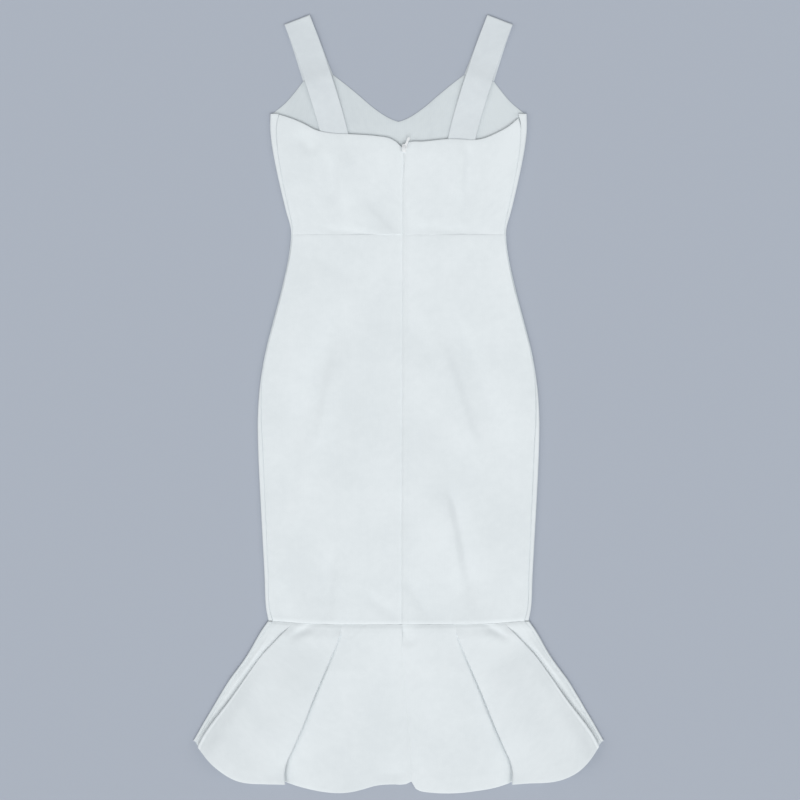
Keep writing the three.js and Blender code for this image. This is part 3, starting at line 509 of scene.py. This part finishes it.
flounceCreases = {
    "left": (
        {"from": (-120, 854), "to": (-150, 872), "widths": (5, 7), "height": -2.38},
        {"from": (-66, 900), "to": (-86, 1060), "widths": (26, 18), "height": -1.62},
        {"from": (-24, 1062), "to": (6, 1066), "widths": (12, 10), "height": -1.25},
        {"from": (-190, 950), "to": (-214, 1050), "widths": (22, 30), "height": -1.75},
        {"from": (-140, 920), "to": (-158, 1040), "widths": (20, 26), "height": 1.76},
        {"from": (-40, 870), "to": (-46, 930), "widths": (14, 10), "height": -0.75},
    ),
    "right": (
        {"from": (121, 854), "to": (152, 873), "widths": (7, 5), "height": -2.38},
        {"from": (6, 860), "to": (14, 884), "widths": (5, 14), "height": -2},
        {"from": (48, 960), "to": (50, 1060), "widths": (14, 18), "height": -1.75},
        {"from": (22, 940), "to": (30, 1060), "widths": (6, 12), "height": 1.28},
        {"from": (208, 950), "to": (232, 1044), "widths": (30, 22), "height": -1.75},
        {"from": (156, 920), "to": (172, 1040), "widths": (26, 20), "height": 1.76},
    ),
}

# The front, face down

frontForm = {
    "returnSteps": 14,
    "bodiceRows": 46,
    "skirtRows": 96,
    "flounceRows": 44,
    "neckSteps": 34,
    "footSteps": 12,
    "armSteps": 16,
    "flatSteps": 56,
}


def frontGrid(section, foldDown, x, down):
    # x and down hold the flat part's places, a row for each section
    seam = sideSeam(section) - sideGap(section)
    columns = {"left": [], "right": []}
    for side in columns:
        for share in np.linspace(0, 1, frontForm["returnSteps"] + 1):
            across, height = sideFoldPoint(section, share * seam)
            columns[side].append(np.stack([onSide(side, across), toY(foldDown), height], axis=1))
    flat = np.stack([x, toY(down), np.full_like(x, wall / 2)], axis=2)
    left = np.stack(columns["left"][::-1], axis=1)
    right = np.stack(columns["right"], axis=1)
    points = np.concatenate([left, flat, right], axis=1)
    # thinner than its solid, so it lies that much lower on the surface
    points[..., 2] -= (wall - dress["cloth"]) / 2 * bump(points[..., 2], wall / 2, 1.2)
    return points


def frontTopPlaces():
    steps = (frontForm["neckSteps"], frontForm["footSteps"], frontForm["armSteps"])
    limits = ((0, 92), (92, 134), (134, 177))
    across, down = [], []
    for k, (low, high) in enumerate(limits):
        places = np.linspace(low, high, steps[k] + 1)[0 if k == 0 else 1 :]
        across.append(places)
        down.append(frontTopStretches[k](places)["down"])
    return np.concatenate(across), np.concatenate(down)


def frontBodiceGrid():
    across, down = frontTopPlaces()
    across = np.concatenate([-across[::-1], across[1:]])
    topDown = np.concatenate([down[::-1], down[1:]])
    end = dress["waistDown"] - dress["seamJoin"] / 2
    share = np.linspace(0, 1, frontForm["bodiceRows"])[:, None]
    foldDown = mix(bodyTop, end, share[:, 0])
    section = bodyAt(foldDown)
    topFlat = foldStart(bodyAt(bodyTop))
    x = across[None, :] * (foldStart(section) / topFlat)[:, None] * 0.997
    return frontGrid(section, foldDown, x, mix(topDown[None, :], end, share))


def frontSkirtGrid():
    top = dress["waistDown"] + dress["seamJoin"] / 2
    foldDown = np.linspace(top, bodyBottom, frontForm["skirtRows"])
    share = ((foldDown - top) / (bodyBottom - top))[:, None]
    section = bodyAt(foldDown)
    x = np.linspace(-0.97, 0.97, frontForm["flatSteps"])[None, :] * foldStart(section)[:, None]
    down = foldDown[:, None] + share * (hipSeamAt(x) - bodyBottom - dress["seamGap"] / 2)
    return frontGrid(section, foldDown - share[:, 0] * dress["seamGap"] / 2, x, down)


def flounceLine(side, share):
    # one row of the flounce for each share of the way down: its section, its centre and its line
    foldDown = mix(flounceTop + dress["cornerNotch"], flounceBottom, share)
    section = flounceAt(foldDown)
    hemCentre = onSide(side, centreBackAtHem)
    hipCentre = onSide(side, centreBackAt(dress["hipSeamDown"])["across"])
    hemCentreDown = hemAt[side](hemCentre)["down"]
    centre = centreAcross(side, mix(dress["hipSeamDown"] + dress["seamGap"], hemCentreDown, share))

    def downAt(across, hemShy=0):
        inwards = (section["half"] - across) / (section["half"] - centre)
        seam = hipSeamAt(mix(flounceTopHalf, hipCentre, inwards)) + dress["seamGap"]
        edge = hemAt[side](mix(flounceBottomHalf, hemCentre, inwards))["down"] - hemShy
        return mix(seam, edge, share)

    return section, foldDown, centre, downAt


def frontFlounceGrid():
    share = np.linspace(0, 1, frontForm["flounceRows"])
    widths = np.concatenate([np.linspace(0, 0.94, 34), [0.96, 0.975, 0.99]])
    halves = {}
    for side in ("left", "right"):
        section, foldDown, _, downAt = flounceLine(side, share)
        places = []
        for width in widths:
            across = width * foldStart(section)
            shy = dress["frontHemShy"] * (1 - ease(width, 0.9, 1))
            places.append((onSide(side, across), downAt(across, shy)))
        halves[side] = np.array(places)
    x = np.concatenate([halves["left"][::-1, 0], halves["right"][1:, 0]]).T
    down = np.concatenate([halves["left"][::-1, 1], halves["right"][1:, 1]]).T
    return frontGrid(section, foldDown, x, down)


# The back

backForm = {"foldSteps": 10, "flatSteps": 66, "bodiceRows": 58, "skirtRows": 176}


def gridOf(side, columns):
    # columns are listed from the side seam in, each as across, down and height
    points = np.stack([
        np.stack([onSide(side, across), toY(down), height + 0 * across], axis=1)
        for across, down, height in columns
    ], axis=1)
    return points if side == "left" else points[:, ::-1]


def backGrid(side, foldDown, downFor):
    section = bodyAt(foldDown)
    seam = sideSeam(section) + sideGap(section)
    foldEnd = np.maximum(seam, math.pi * section["fold"]) + 1.5
    columns = []
    for share in np.linspace(0, 1, backForm["foldSteps"] + 1):
        across, height = sideFoldPoint(section, mix(seam, foldEnd, share))
        columns.append((across, downFor(across), height))
    start = across
    centre = centreAcross(side, foldDown)
    foldTop = wall / 2 + 2 * section["fold"]
    for share in np.linspace(0, 1, backForm["flatSteps"] + 1)[1:]:
        across = mix(start, centre, share)
        inwards = ease(foldStart(section) - across, 2, 34)
        columns.append((across, downFor(across), mix(foldTop, section["level"], inwards)))
    return gridOf(side, columns)


def backBodiceGrid(side):
    end = dress["waistDown"] - dress["seamJoin"] / 2
    share = np.linspace(0, 1, backForm["bodiceRows"])
    foldDown = mix(bodyTop, end, share)
    widen = bodyAt(bodyTop)["half"] / bodyAt(foldDown)["half"]

    def downFor(across):
        topAcross = mix(across, across * widen, np.clip(across / 60, 0, 1))
        return mix(backTopAt[side](topAcross)["down"], end, share)

    return backGrid(side, foldDown, downFor)


def backSkirtGrid(side):
    top = dress["waistDown"] + dress["seamJoin"] / 2
    foldDown = np.linspace(top, bodyBottom, backForm["skirtRows"])
    share = (foldDown - top) / (bodyBottom - top)
    return backGrid(side, foldDown, lambda across: (
        foldDown + share * (hipSeamAt(across) - bodyBottom - dress["seamGap"] / 2)
    ))


# The back flounce: a strip at the side seam, a flute over it, and the centre panel

fluteForm = {
    "outerTuck": 46,
    "innerTuck": 40,
    "bow": 7.0,
    "bowFullness": 0.62,
    "edgeDrop": 4.2,  # the lobe rolls down towards its outer edge
    "edgeReach": 10,
    "panelBow": 2.2,
    "panelRise": ((2.2, 1.3), (1.3, 8)),  # heights and reaches: it comes up out of the fold's slot
    "slot": 2.0,
    "stripRise": 2.0,
    "turnSteps": 10,
    "stripSteps": 20,
    "lobeSteps": 34,
    "hiddenSteps": 10,
    "panelSteps": 40,
    "rows": 92,
}
outerFoldAt = curveThrough(("down", "across"), (
    (849, 143), (861, 156), (878, 173.4), (897, 191.4), (920, 208.5), (959, 236.4),
    (1005, 271), (1023, 281),
))
innerFoldAt = curveThrough(("down", "across"), (
    (849, 79.8), (858, 80.6), (870, 82.9), (890, 90.2), (924, 104.8), (957, 118.8),
    (991, 132.4), (1025, 147.2), (1047, 156.6), (1060, 159.2), (1078, 158),
))
growthAt = curveThrough(("at", "tuck", "turn", "radius", "level"), (
    (0, 0, 0, 1.1, 4.2),
    (0.04, 0.015, 0.3, 0.8, 4.0),
    (0.09, 0.03, 0.86, 0.75, 3.7),
    (0.15, 0.12, 1, 0.85, 3.35),
    (0.3, 0.33, 1, 1.25, 3.0),
    (0.6, 0.63, 1, 2.1, 2.95),
    (1, 1, 1, 2.8, 3.05),
))


def doubledBack(turn, tuck, radius):
    steps = np.linspace(0, 1, fluteForm["turnSteps"] + 1)
    first = [
        (radius * np.sin(share * turn), radius * (1 - np.cos(share * turn))) for share in steps
    ]
    cornerIn, cornerUp = first[-1]
    second = [(
        cornerIn + tuck * np.cos(turn) + radius * (np.sin(turn) - np.sin((1 - share) * turn)),
        cornerUp + tuck * np.sin(turn) + radius * (np.cos((1 - share) * turn) - np.cos(turn)),
    ) for share in steps]
    return first, second


def crossing(foldAt, foldDown, downAt):
    across = foldAt(downAt(foldAt(foldDown)["across"]))["across"]
    for _ in range(14):
        across = (across + foldAt(downAt(across))["across"]) / 2
    return across


def spreadColumns(points, least):
    # moves each row's points along its line until none is nearer than least to its neighbour
    spread = np.empty_like(points)
    for i, row in enumerate(points):
        steps = np.linalg.norm(np.diff(row, axis=0), axis=1)
        places = np.concatenate([[0], steps.cumsum()])
        wider = np.concatenate([[0], np.maximum(steps, least).cumsum()])
        wider *= places[-1] / wider[-1]
        for k in range(3):
            spread[i, :, k] = np.interp(wider, places, row[:, k])
    return spread


def backFlounceGrid(side):
    share = np.linspace(0, 1, fluteForm["rows"]) ** 1.15
    section, foldDown, centre, downAt = flounceLine(side, share)
    growth = growthAt(share)
    turn = math.pi * np.clip(growth["turn"], 0, 1)
    radius, level = growth["radius"], growth["level"]
    covered = dress["tuckShy"] * share
    outer = doubledBack(turn, fluteForm["outerTuck"] * growth["tuck"], radius)
    inner = doubledBack(turn, fluteForm["innerTuck"] * growth["tuck"], radius)
    folded = np.clip(growth["turn"] * 2 - 1, 0, 1)
    outerEdge = crossing(outerFoldAt, foldDown, downAt) - wall / 2 * folded
    innerEdge = crossing(innerFoldAt, foldDown, downAt) + wall / 2 * folded
    least = np.min([step[0] for part in outer for step in part], axis=0)
    outerStart = outerEdge + mix(outer[1][-1][0] / 2, least, folded)
    innerStart = innerEdge + mix(inner[1][-1][0] / 2, radius, folded)
    outerLift, innerLift = outer[1][-1][1], inner[1][-1][1]

    columns = []

    def add(across, height, shy):
        columns.append((across, downAt(across, shy), height))

    seamAcross, seamHeight = sideFoldPoint(section, sideSeam(section) + sideGap(section))
    stripEnd = np.minimum(outerEdge + 1, seamAcross - 1)
    seamShift = (foldDown - downAt(seamAcross)) / np.maximum(share, 0.01)
    for part in np.linspace(0, 1, fluteForm["stripSteps"] + 1):
        across = mix(seamAcross, stripEnd, part)
        rise = fluteForm["stripRise"] * bump(part, 0.5, 0.24) * ease(share, 0.05, 0.3)
        height = mix(seamHeight, level, ease(part, 0, 1)) + rise * (1 - share)
        add(across, height, mix(-seamShift, covered, part))
    for inwards, up in outer[0]:
        add(outerStart - inwards, level + up, covered)
    edgeDrop = fluteForm["edgeDrop"] * share * ease(share, 0.1, 0.4)
    for k, (inwards, up) in enumerate(outer[1]):
        add(outerStart - inwards, level + up - edgeDrop * k / fluteForm["turnSteps"], 0)
    fluteStart = outerStart - outer[1][-1][0]
    for part in np.linspace(0, 1, fluteForm["lobeSteps"] + 1)[1:-1]:
        across = mix(fluteStart, innerStart, part ** 1.3)
        arch = math.sin(math.pi * part ** 1.3) ** fluteForm["bowFullness"]
        bow = fluteForm["bow"] * share * arch
        bow = bow - edgeDrop * bump(across, fluteStart, fluteForm["edgeReach"])
        add(across, level + mix(outerLift, innerLift, part) + bow, 0)
    for steps, shy in ((inner[0], 0), (inner[1], covered)):
        for inwards, up in steps:
            add(innerStart - inwards, level + innerLift - up, shy)
    panelStart = innerStart - inner[1][-1][0]
    panelEdge = np.minimum(innerEdge, panelStart)
    for part in np.linspace(0, 1, fluteForm["hiddenSteps"] + 1)[1:]:
        add(mix(panelStart, panelEdge, part), level, covered)
    for part in np.linspace(0, 1, fluteForm["panelSteps"] + 1)[1:]:
        across = mix(panelEdge, centre, part ** 1.8)
        away = np.maximum(innerEdge - fluteForm["slot"] - across, 0)
        rise = sum(high * (1 - np.exp(-away / reach)) for high, reach in fluteForm["panelRise"])
        rise = rise * np.clip(share / 0.28, 0, 1) * (1 - ease(part, 0.5, 1))
        bow = fluteForm["panelBow"] * share * math.sin(math.pi * part ** 1.8) ** 2
        add(across, level + bow + rise, covered * (1 - ease(part, 0.05, 0.5)))
    return spreadColumns(gridOf(side, columns), 0.27)


# Straps

strapForm = {
    "width": 38,
    "wall": 2,
    "thickness": 1.75,
    "foldRadius": 1.225,
    "lineEnd": {"left": 186, "right": 194},  # along the middle line, under the back's top edge
    "foot": ((92, 84.3), (134, 93.4)),
    "upperRows": 100,
    "foldRows": 10,
    "lowerRows": 44,
    "columns": 17,
}
strapLineAt = curveThrough(("down", "across"), (
    (6.8, 142.4), (47, 127), (88.5, 113), (128, 100.5), (165, 90.5), (188, 86), (200, 84),
))
strapHeightAt = curveThrough(("down", "height"), (
    (0, 3.45), (48, 3.4), (66, 3.0), (78, 3.9), (90, 5.2), (108, 4.6), (140, 3.0), (165, 3.1),
    (188, 3.1),
))


def strapGrid(side):
    line = np.linspace(6.8, 200, 400)
    across = strapLineAt(line)["across"]
    along = np.concatenate([[0], np.hypot(np.diff(line), np.diff(across)).cumsum()])
    slope = np.gradient(across, line)
    reach = strapForm["foldRadius"] + strapForm["wall"] / 2

    def crossLine(length):
        down, middle = np.interp(length, along, line), np.interp(length, along, across)
        lean = np.interp(length, along, slope)
        outwards = np.array([1, -lean]) / np.hypot(1, lean)
        centre = np.array([middle, down])
        half = strapForm["width"] / 2
        return centre - outwards * half, centre + outwards * half

    rows = []

    def addRow(inner, outer, height):
        places = [mix(outer, inner, share) for share in np.linspace(0, 1, strapForm["columns"])]
        rows.append([(onSide(side, place[0]), toY(place[1]), height) for place in places])

    for length in np.linspace(strapForm["lineEnd"][side], reach, strapForm["upperRows"]):
        inner, outer = crossLine(length)
        addRow(inner, outer, float(strapHeightAt((inner[1] + outer[1]) / 2)["height"]))
    inner, outer = crossLine(reach)
    backwards = -np.array([slope[0], 1]) / np.hypot(1, slope[0])
    for turn in np.linspace(0, math.pi, strapForm["foldRows"] + 1)[1:]:
        shift = backwards * strapForm["foldRadius"] * math.sin(turn)
        height = strapForm["wall"] / 2 + strapForm["foldRadius"] * (1 + math.cos(turn))
        addRow(inner + shift, outer + shift, height)
    footInner, footOuter = (np.array(place) - (0, dress["seamGap"]) for place in strapForm["foot"])
    for part in np.linspace(0, 1, strapForm["lowerRows"] + 1)[1:]:
        sweep = crossLine(mix(reach, 88, part))
        pull = 0.5 * (1 - part)
        addRow(
            mix(mix(inner, footInner, part), sweep[0], pull),
            mix(mix(outer, footOuter, part), sweep[1], pull),
            strapForm["wall"] / 2 - 0.12,
        )
    points = np.array(rows)
    return points if side == "left" else points[:, ::-1]


print("cloth")


def addCloth(node, points, knits, slot, restsOn, held="laid", **shape):
    piece = clothPiece("cloth_" + node, points, *knits, **shape)
    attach(piece, "dress")
    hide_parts(node)
    return piece


addCloth("front_bodice", dressGrid(
    frontBodiceGrid(), ("turned", "waist", "side", "side"), 101, crumple=0.14, upOnly=True,
), (knitBack, knitFace), "dress_cloth", ["floor"])
addCloth("front_skirt", dressGrid(
    frontSkirtGrid(), ("waist", "seam", "side", "side"), 131, crumple=0.12, upOnly=True,
), (knitBack, knitFace), "dress_cloth", ["floor"])
addCloth("front_flounce", dressGrid(
    frontFlounceGrid(), ("seam", "hem", "side", "side"), 161, crumple=0.12, upOnly=True,
), (knitBack, knitFace), "dress_cloth", ["floor"])
strapPoints = {}
for side in ("left", "right"):
    seed = {"left": 201, "right": 251}[side]
    atZip, atFlounceCentre = ("side", "zip" + side.title()), ("side", "seam")
    if side == "right":
        atZip, atFlounceCentre = atZip[::-1], atFlounceCentre[::-1]
    addCloth("back_bodice_" + side, dressGrid(
        backBodiceGrid(side), ("turned", "waist", *atZip), seed, bodiceCreases,
    ), (knitFace, knitBack), "dress_cloth", ["cloth_front_bodice"])
    addCloth("back_skirt_" + side, dressGrid(
        backSkirtGrid(side), ("waist", "hipSeam", *atZip), seed + 7, skirtCreases,
    ), (knitFace, knitBack), "dress_cloth", ["cloth_front_skirt"])
    addCloth("back_flounce_" + side, dressGrid(
        backFlounceGrid(side), ("flounceTop", "hem", *atFlounceCentre), seed + 17,
        flounceCreases[side], crumple=0.16,
    ), (knitFace, knitBack), "dress_cloth", ["cloth_front_flounce"])
    strapPoints[side] = dressGrid(
        strapGrid(side), (None, None, "strapEdge", "strapEdge"), seed + 27, crumple=0.08,
    )
    addCloth(
        "strap_" + side, strapPoints[side], (strapKnit, strapKnit), "strap_cloth",
        ["floor", "cloth_front_bodice"], held="folded", thickness=strapForm["thickness"], edge=0.6,
    )

# Zip: the tape under the centre-back edges, its coil, the slider and the pull tab

zipForm = {
    "top": 188,
    "length": 345,
    "width": 24,
    "thickness": 0.6,
    "underCloth": 1.6,  # the tape's middle below the back's mid-wall
    "sunk": 0.7,  # and how much deeper it lies along the rolled edges of the seam
    "toothPitch": 1.7,
    "tooth": (1.5, 0.5, 0.42),  # half sizes across, along and up
    "toothApart": 1.15,
}


def zipLine(down):
    return centreBackAt(down)["across"], bodyAt(down)["level"] - zipForm["underCloth"]


def zipTapePoints():
    down = np.linspace(zipForm["top"], zipForm["top"] + zipForm["length"], 116)
    middle, height = zipLine(down)
    columns = []
    for share in np.linspace(-0.5, 0.5, 17):
        aside = share * zipForm["width"]
        sunk = zipForm["sunk"] * bump(aside, 0, 5)
        columns.append(np.stack([middle + aside, toY(down), height - sunk], axis=1))
    return np.stack(columns, axis=1)


def newPiece(name, bm, material):
    mesh = bpy.data.meshes.new(name)
    bm.to_mesh(mesh)
    bm.free()
    mesh.polygons.foreach_set("use_smooth", np.ones(len(mesh.polygons), bool))
    mesh.materials.append(material)
    piece = bpy.data.objects.new(name, mesh)
    bpy.context.scene.collection.objects.link(piece)
    return piece


def zipCoil(material):
    bm = bmesh.new()
    halfAcross, halfAlong, halfUp = zipForm["tooth"]
    for k in range(int(zipForm["length"] / zipForm["toothPitch"])):
        down = zipForm["top"] + (k + 0.5) * zipForm["toothPitch"]
        middle, height = zipLine(down)
        for hand in (-1, 1):
            place = Vector((
                middle + hand * zipForm["toothApart"],
                toY(down + hand * zipForm["toothPitch"] / 4),
                height - zipForm["sunk"] - zipForm["thickness"] / 2 - halfUp * 0.6,
            )) * mm
            lean = Matrix.Rotation(hand * 0.12, 4, "Z")
            size = Matrix.Diagonal((halfAcross * mm, halfAlong * mm, halfUp * mm, 1))
            shape = Matrix.Translation(place) @ lean @ size
            bmesh.ops.create_icosphere(bm, subdivisions=1, radius=1, matrix=shape)
    return newPiece("zip_coil", bm, material)


print("zip")
zipWeave = knitMaterial("zipWeave", {
    **clothLook, "colour": (0.80, 0.83, 0.845), "shade": (0.70, 0.73, 0.75),
    "wale": 0.6, "course": 0.5, "knitDepth": 0.05, "sheen": 0.05,
})
tape = clothPiece("cloth_zip_tape", zipTapePoints(), zipWeave, zipWeave, zipForm["thickness"], 0.15)
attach(tape, "dress")
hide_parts("zip_tape")

enamelLook = {
    "colour": (0.87, 0.885, 0.89),
    "worn": (0.78, 0.79, 0.80),
    "roughness": 0.32,
    "edge": 0.16,  # mm, the rounding of the hard pieces' edges
}


def enamelMaterial(look):
    material, tree, shader = newMaterial("whiteEnamel")
    place = addNode(tree, "ShaderNodeTexCoord").outputs["Object"]
    clouds = addNode(tree, "ShaderNodeTexNoise", {"Vector": place, "Scale": 420, "Detail": 3.0})
    colour = addNode(tree, "ShaderNodeMix", {
        "Factor": clouds.outputs["Fac"], "A": (*look["colour"], 1), "B": (*look["worn"], 1),
    }, data_type="RGBA")
    tree.links.new(colour.outputs["Result"], shader.inputs["Base Color"])
    rough = addNode(tree, "ShaderNodeMapRange", {
        "Value": clouds.outputs["Fac"],
        "To Min": look["roughness"] - 0.08, "To Max": look["roughness"] + 0.1,
    })
    tree.links.new(rough.outputs[0], shader.inputs["Roughness"])
    orangePeel = addNode(tree, "ShaderNodeTexNoise", {
        "Vector": place, "Scale": 1500, "Detail": 1.0,
    })
    bumpNode = addNode(tree, "ShaderNodeBump", {
        "Height": orangePeel.outputs["Fac"], "Distance": 0.03 * mm,
    })
    tree.links.new(bumpNode.outputs[0], shader.inputs["Normal"])
    shader.inputs["Coat Weight"].default_value = 0.35
    shader.inputs["Coat Roughness"].default_value = 0.2
    return material


enamel = enamelMaterial(enamelLook)
coil = zipCoil(enamel)
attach(coil, "dress")
for name in ("zip_slider", "zip_pull"):
    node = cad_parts[name]
    node.data.materials.clear()
    node.data.materials.append(enamel)
    weld = node.modifiers.new("welded", "WELD")
    weld.merge_threshold = 0.01 * mm
    rounded = node.modifiers.new("roundedEdges", "BEVEL")
    rounded.width = enamelLook["edge"] * mm
    rounded.segments = 3
    rounded.limit_method = "ANGLE"
    rounded.angle_limit = math.radians(35)
    rounded.harden_normals = False

# Stitches along both edges of the straps, on both faces

print("stitches")
stitchForm = {"inset": 2.0, "pitch": 3.0, "length": 2.1, "thickness": 0.34, "sunk": 0.06}


def threadMaterial():
    material, tree, shader = newMaterial("thread")
    place = addNode(tree, "ShaderNodeTexCoord").outputs["Object"]
    twist = addNode(tree, "ShaderNodeTexWave", {
        "Vector": place, "Scale": 900.0, "Distortion": 1.0,
    }, wave_type="BANDS", bands_direction="DIAGONAL")
    colour = addNode(tree, "ShaderNodeMix", {
        "Factor": twist.outputs["Fac"], "A": (0.74, 0.78, 0.80, 1), "B": (0.83, 0.86, 0.87, 1),
    }, data_type="RGBA")
    tree.links.new(colour.outputs["Result"], shader.inputs["Base Color"])
    bumpNode = addNode(tree, "ShaderNodeBump", {
        "Height": twist.outputs["Fac"], "Distance": 0.08 * mm,
    })
    tree.links.new(bumpNode.outputs[0], shader.inputs["Normal"])
    shader.inputs["Roughness"].default_value = 0.6
    return material


def strapStitches(side, points, material):
    bm = bmesh.new()
    normals = gridNormals(points)
    inset = stitchForm["inset"] / strapForm["width"] * (strapForm["columns"] - 1)
    for column in (inset, strapForm["columns"] - 1 - inset):
        c, part = int(column), column - int(column)
        line = mix(points[:, c], points[:, c + 1], part)
        facing = mix(normals[:, c], normals[:, c + 1], part)
        along = np.concatenate([[0], np.linalg.norm(np.diff(line, axis=0), axis=1).cumsum()])
        for length in np.arange(2, along[-1] - 2, stitchForm["pitch"]):
            at = np.array([np.interp(length, along, line[:, k]) for k in range(3)])
            ahead = np.array([np.interp(length + 0.5, along, line[:, k]) for k in range(3)]) - at
            up = Vector([np.interp(length, along, facing[:, k]) for k in range(3)]).normalized()
            run = Vector(ahead).normalized()
            turn = Matrix((run, up.cross(run), up)).transposed().to_4x4()
            half = stitchForm["thickness"] / 2 * mm
            size = Matrix.Diagonal((stitchForm["length"] / 2 * mm, half, half, 1))
            for face in (-1, 1):
                rise = face * (strapForm["thickness"] / 2 - stitchForm["sunk"])
                place = (Vector(at) + up * rise) * mm
                shape = Matrix.Translation(place) @ turn @ size
                bmesh.ops.create_icosphere(bm, subdivisions=1, radius=1, matrix=shape)
    return newPiece("stitches_strap_" + side, bm, material)


thread = threadMaterial()
for side, points in strapPoints.items():
    stitches = strapStitches(side, points, thread)
    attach(stitches, "dress")

# Light, surface and camera

print("surface, light and camera")
stage = {
    "floorColour": (0.42, 0.455, 0.52),
    "floorSize": 8,
    "worldColour": (0.93, 0.965, 1.0),
    "worldStrength": 0.24,
    # a large soft light above, a little towards the hem, and a weak one at each side: where each
    # comes from, its softness in degrees, its strength and its colour
    "lights": {
        "main": ((0.0, -0.52, 1.0), 50, 1.86, (0.975, 0.992, 1.0)),
        "left": ((-0.78, -0.2, 0.6), 40, 0.62, (1.0, 1.0, 1.0)),
        "right": ((0.78, -0.2, 0.6), 40, 0.56, (0.97, 0.985, 1.0)),
    },
    "lens": 83,
    "cameraPlace": (0.002, 0.0052, 2.588),
}
bm = bmesh.new()
bmesh.ops.create_grid(bm, x_segments=2, y_segments=2, size=stage["floorSize"] / 2)
bmesh.ops.translate(bm, verts=bm.verts, vec=(0, 0, -0.0001))
floorMesh = bpy.data.meshes.new("floor")
bm.to_mesh(floorMesh)
bm.free()
floor = bpy.data.objects.new("floor", floorMesh)
bpy.context.scene.collection.objects.link(floor)
floorMaterial, _, floorShader = newMaterial("paleSurface")
floorShader.inputs["Base Color"].default_value = (*stage["floorColour"], 1)
floorShader.inputs["Roughness"].default_value = 0.9
floorMesh.materials.append(floorMaterial)

world = bpy.data.worlds.new("softStudio")
bpy.context.scene.world = world
world.use_nodes = True
world.node_tree.nodes["Background"].inputs["Color"].default_value = (*stage["worldColour"], 1)
world.node_tree.nodes["Background"].inputs["Strength"].default_value = stage["worldStrength"]
for name, (place, softness, strength, colour) in stage["lights"].items():
    light = bpy.data.lights.new(name, "SUN")
    light.angle = math.radians(softness)
    light.energy = strength
    light.color = colour
    lamp = bpy.data.objects.new(name, light)
    lamp.location = Vector(place) * 3
    lamp.rotation_euler = Vector(place).to_track_quat("Z", "Y").to_euler()
    bpy.context.scene.collection.objects.link(lamp)

camera = bpy.data.objects.new("camera", bpy.data.cameras.new("camera"))
camera.data.lens = stage["lens"]
camera.location = stage["cameraPlace"]
bpy.context.scene.collection.objects.link(camera)
bpy.context.scene.camera = camera
bpy.context.scene.view_settings.view_transform = "Standard"

print("done")
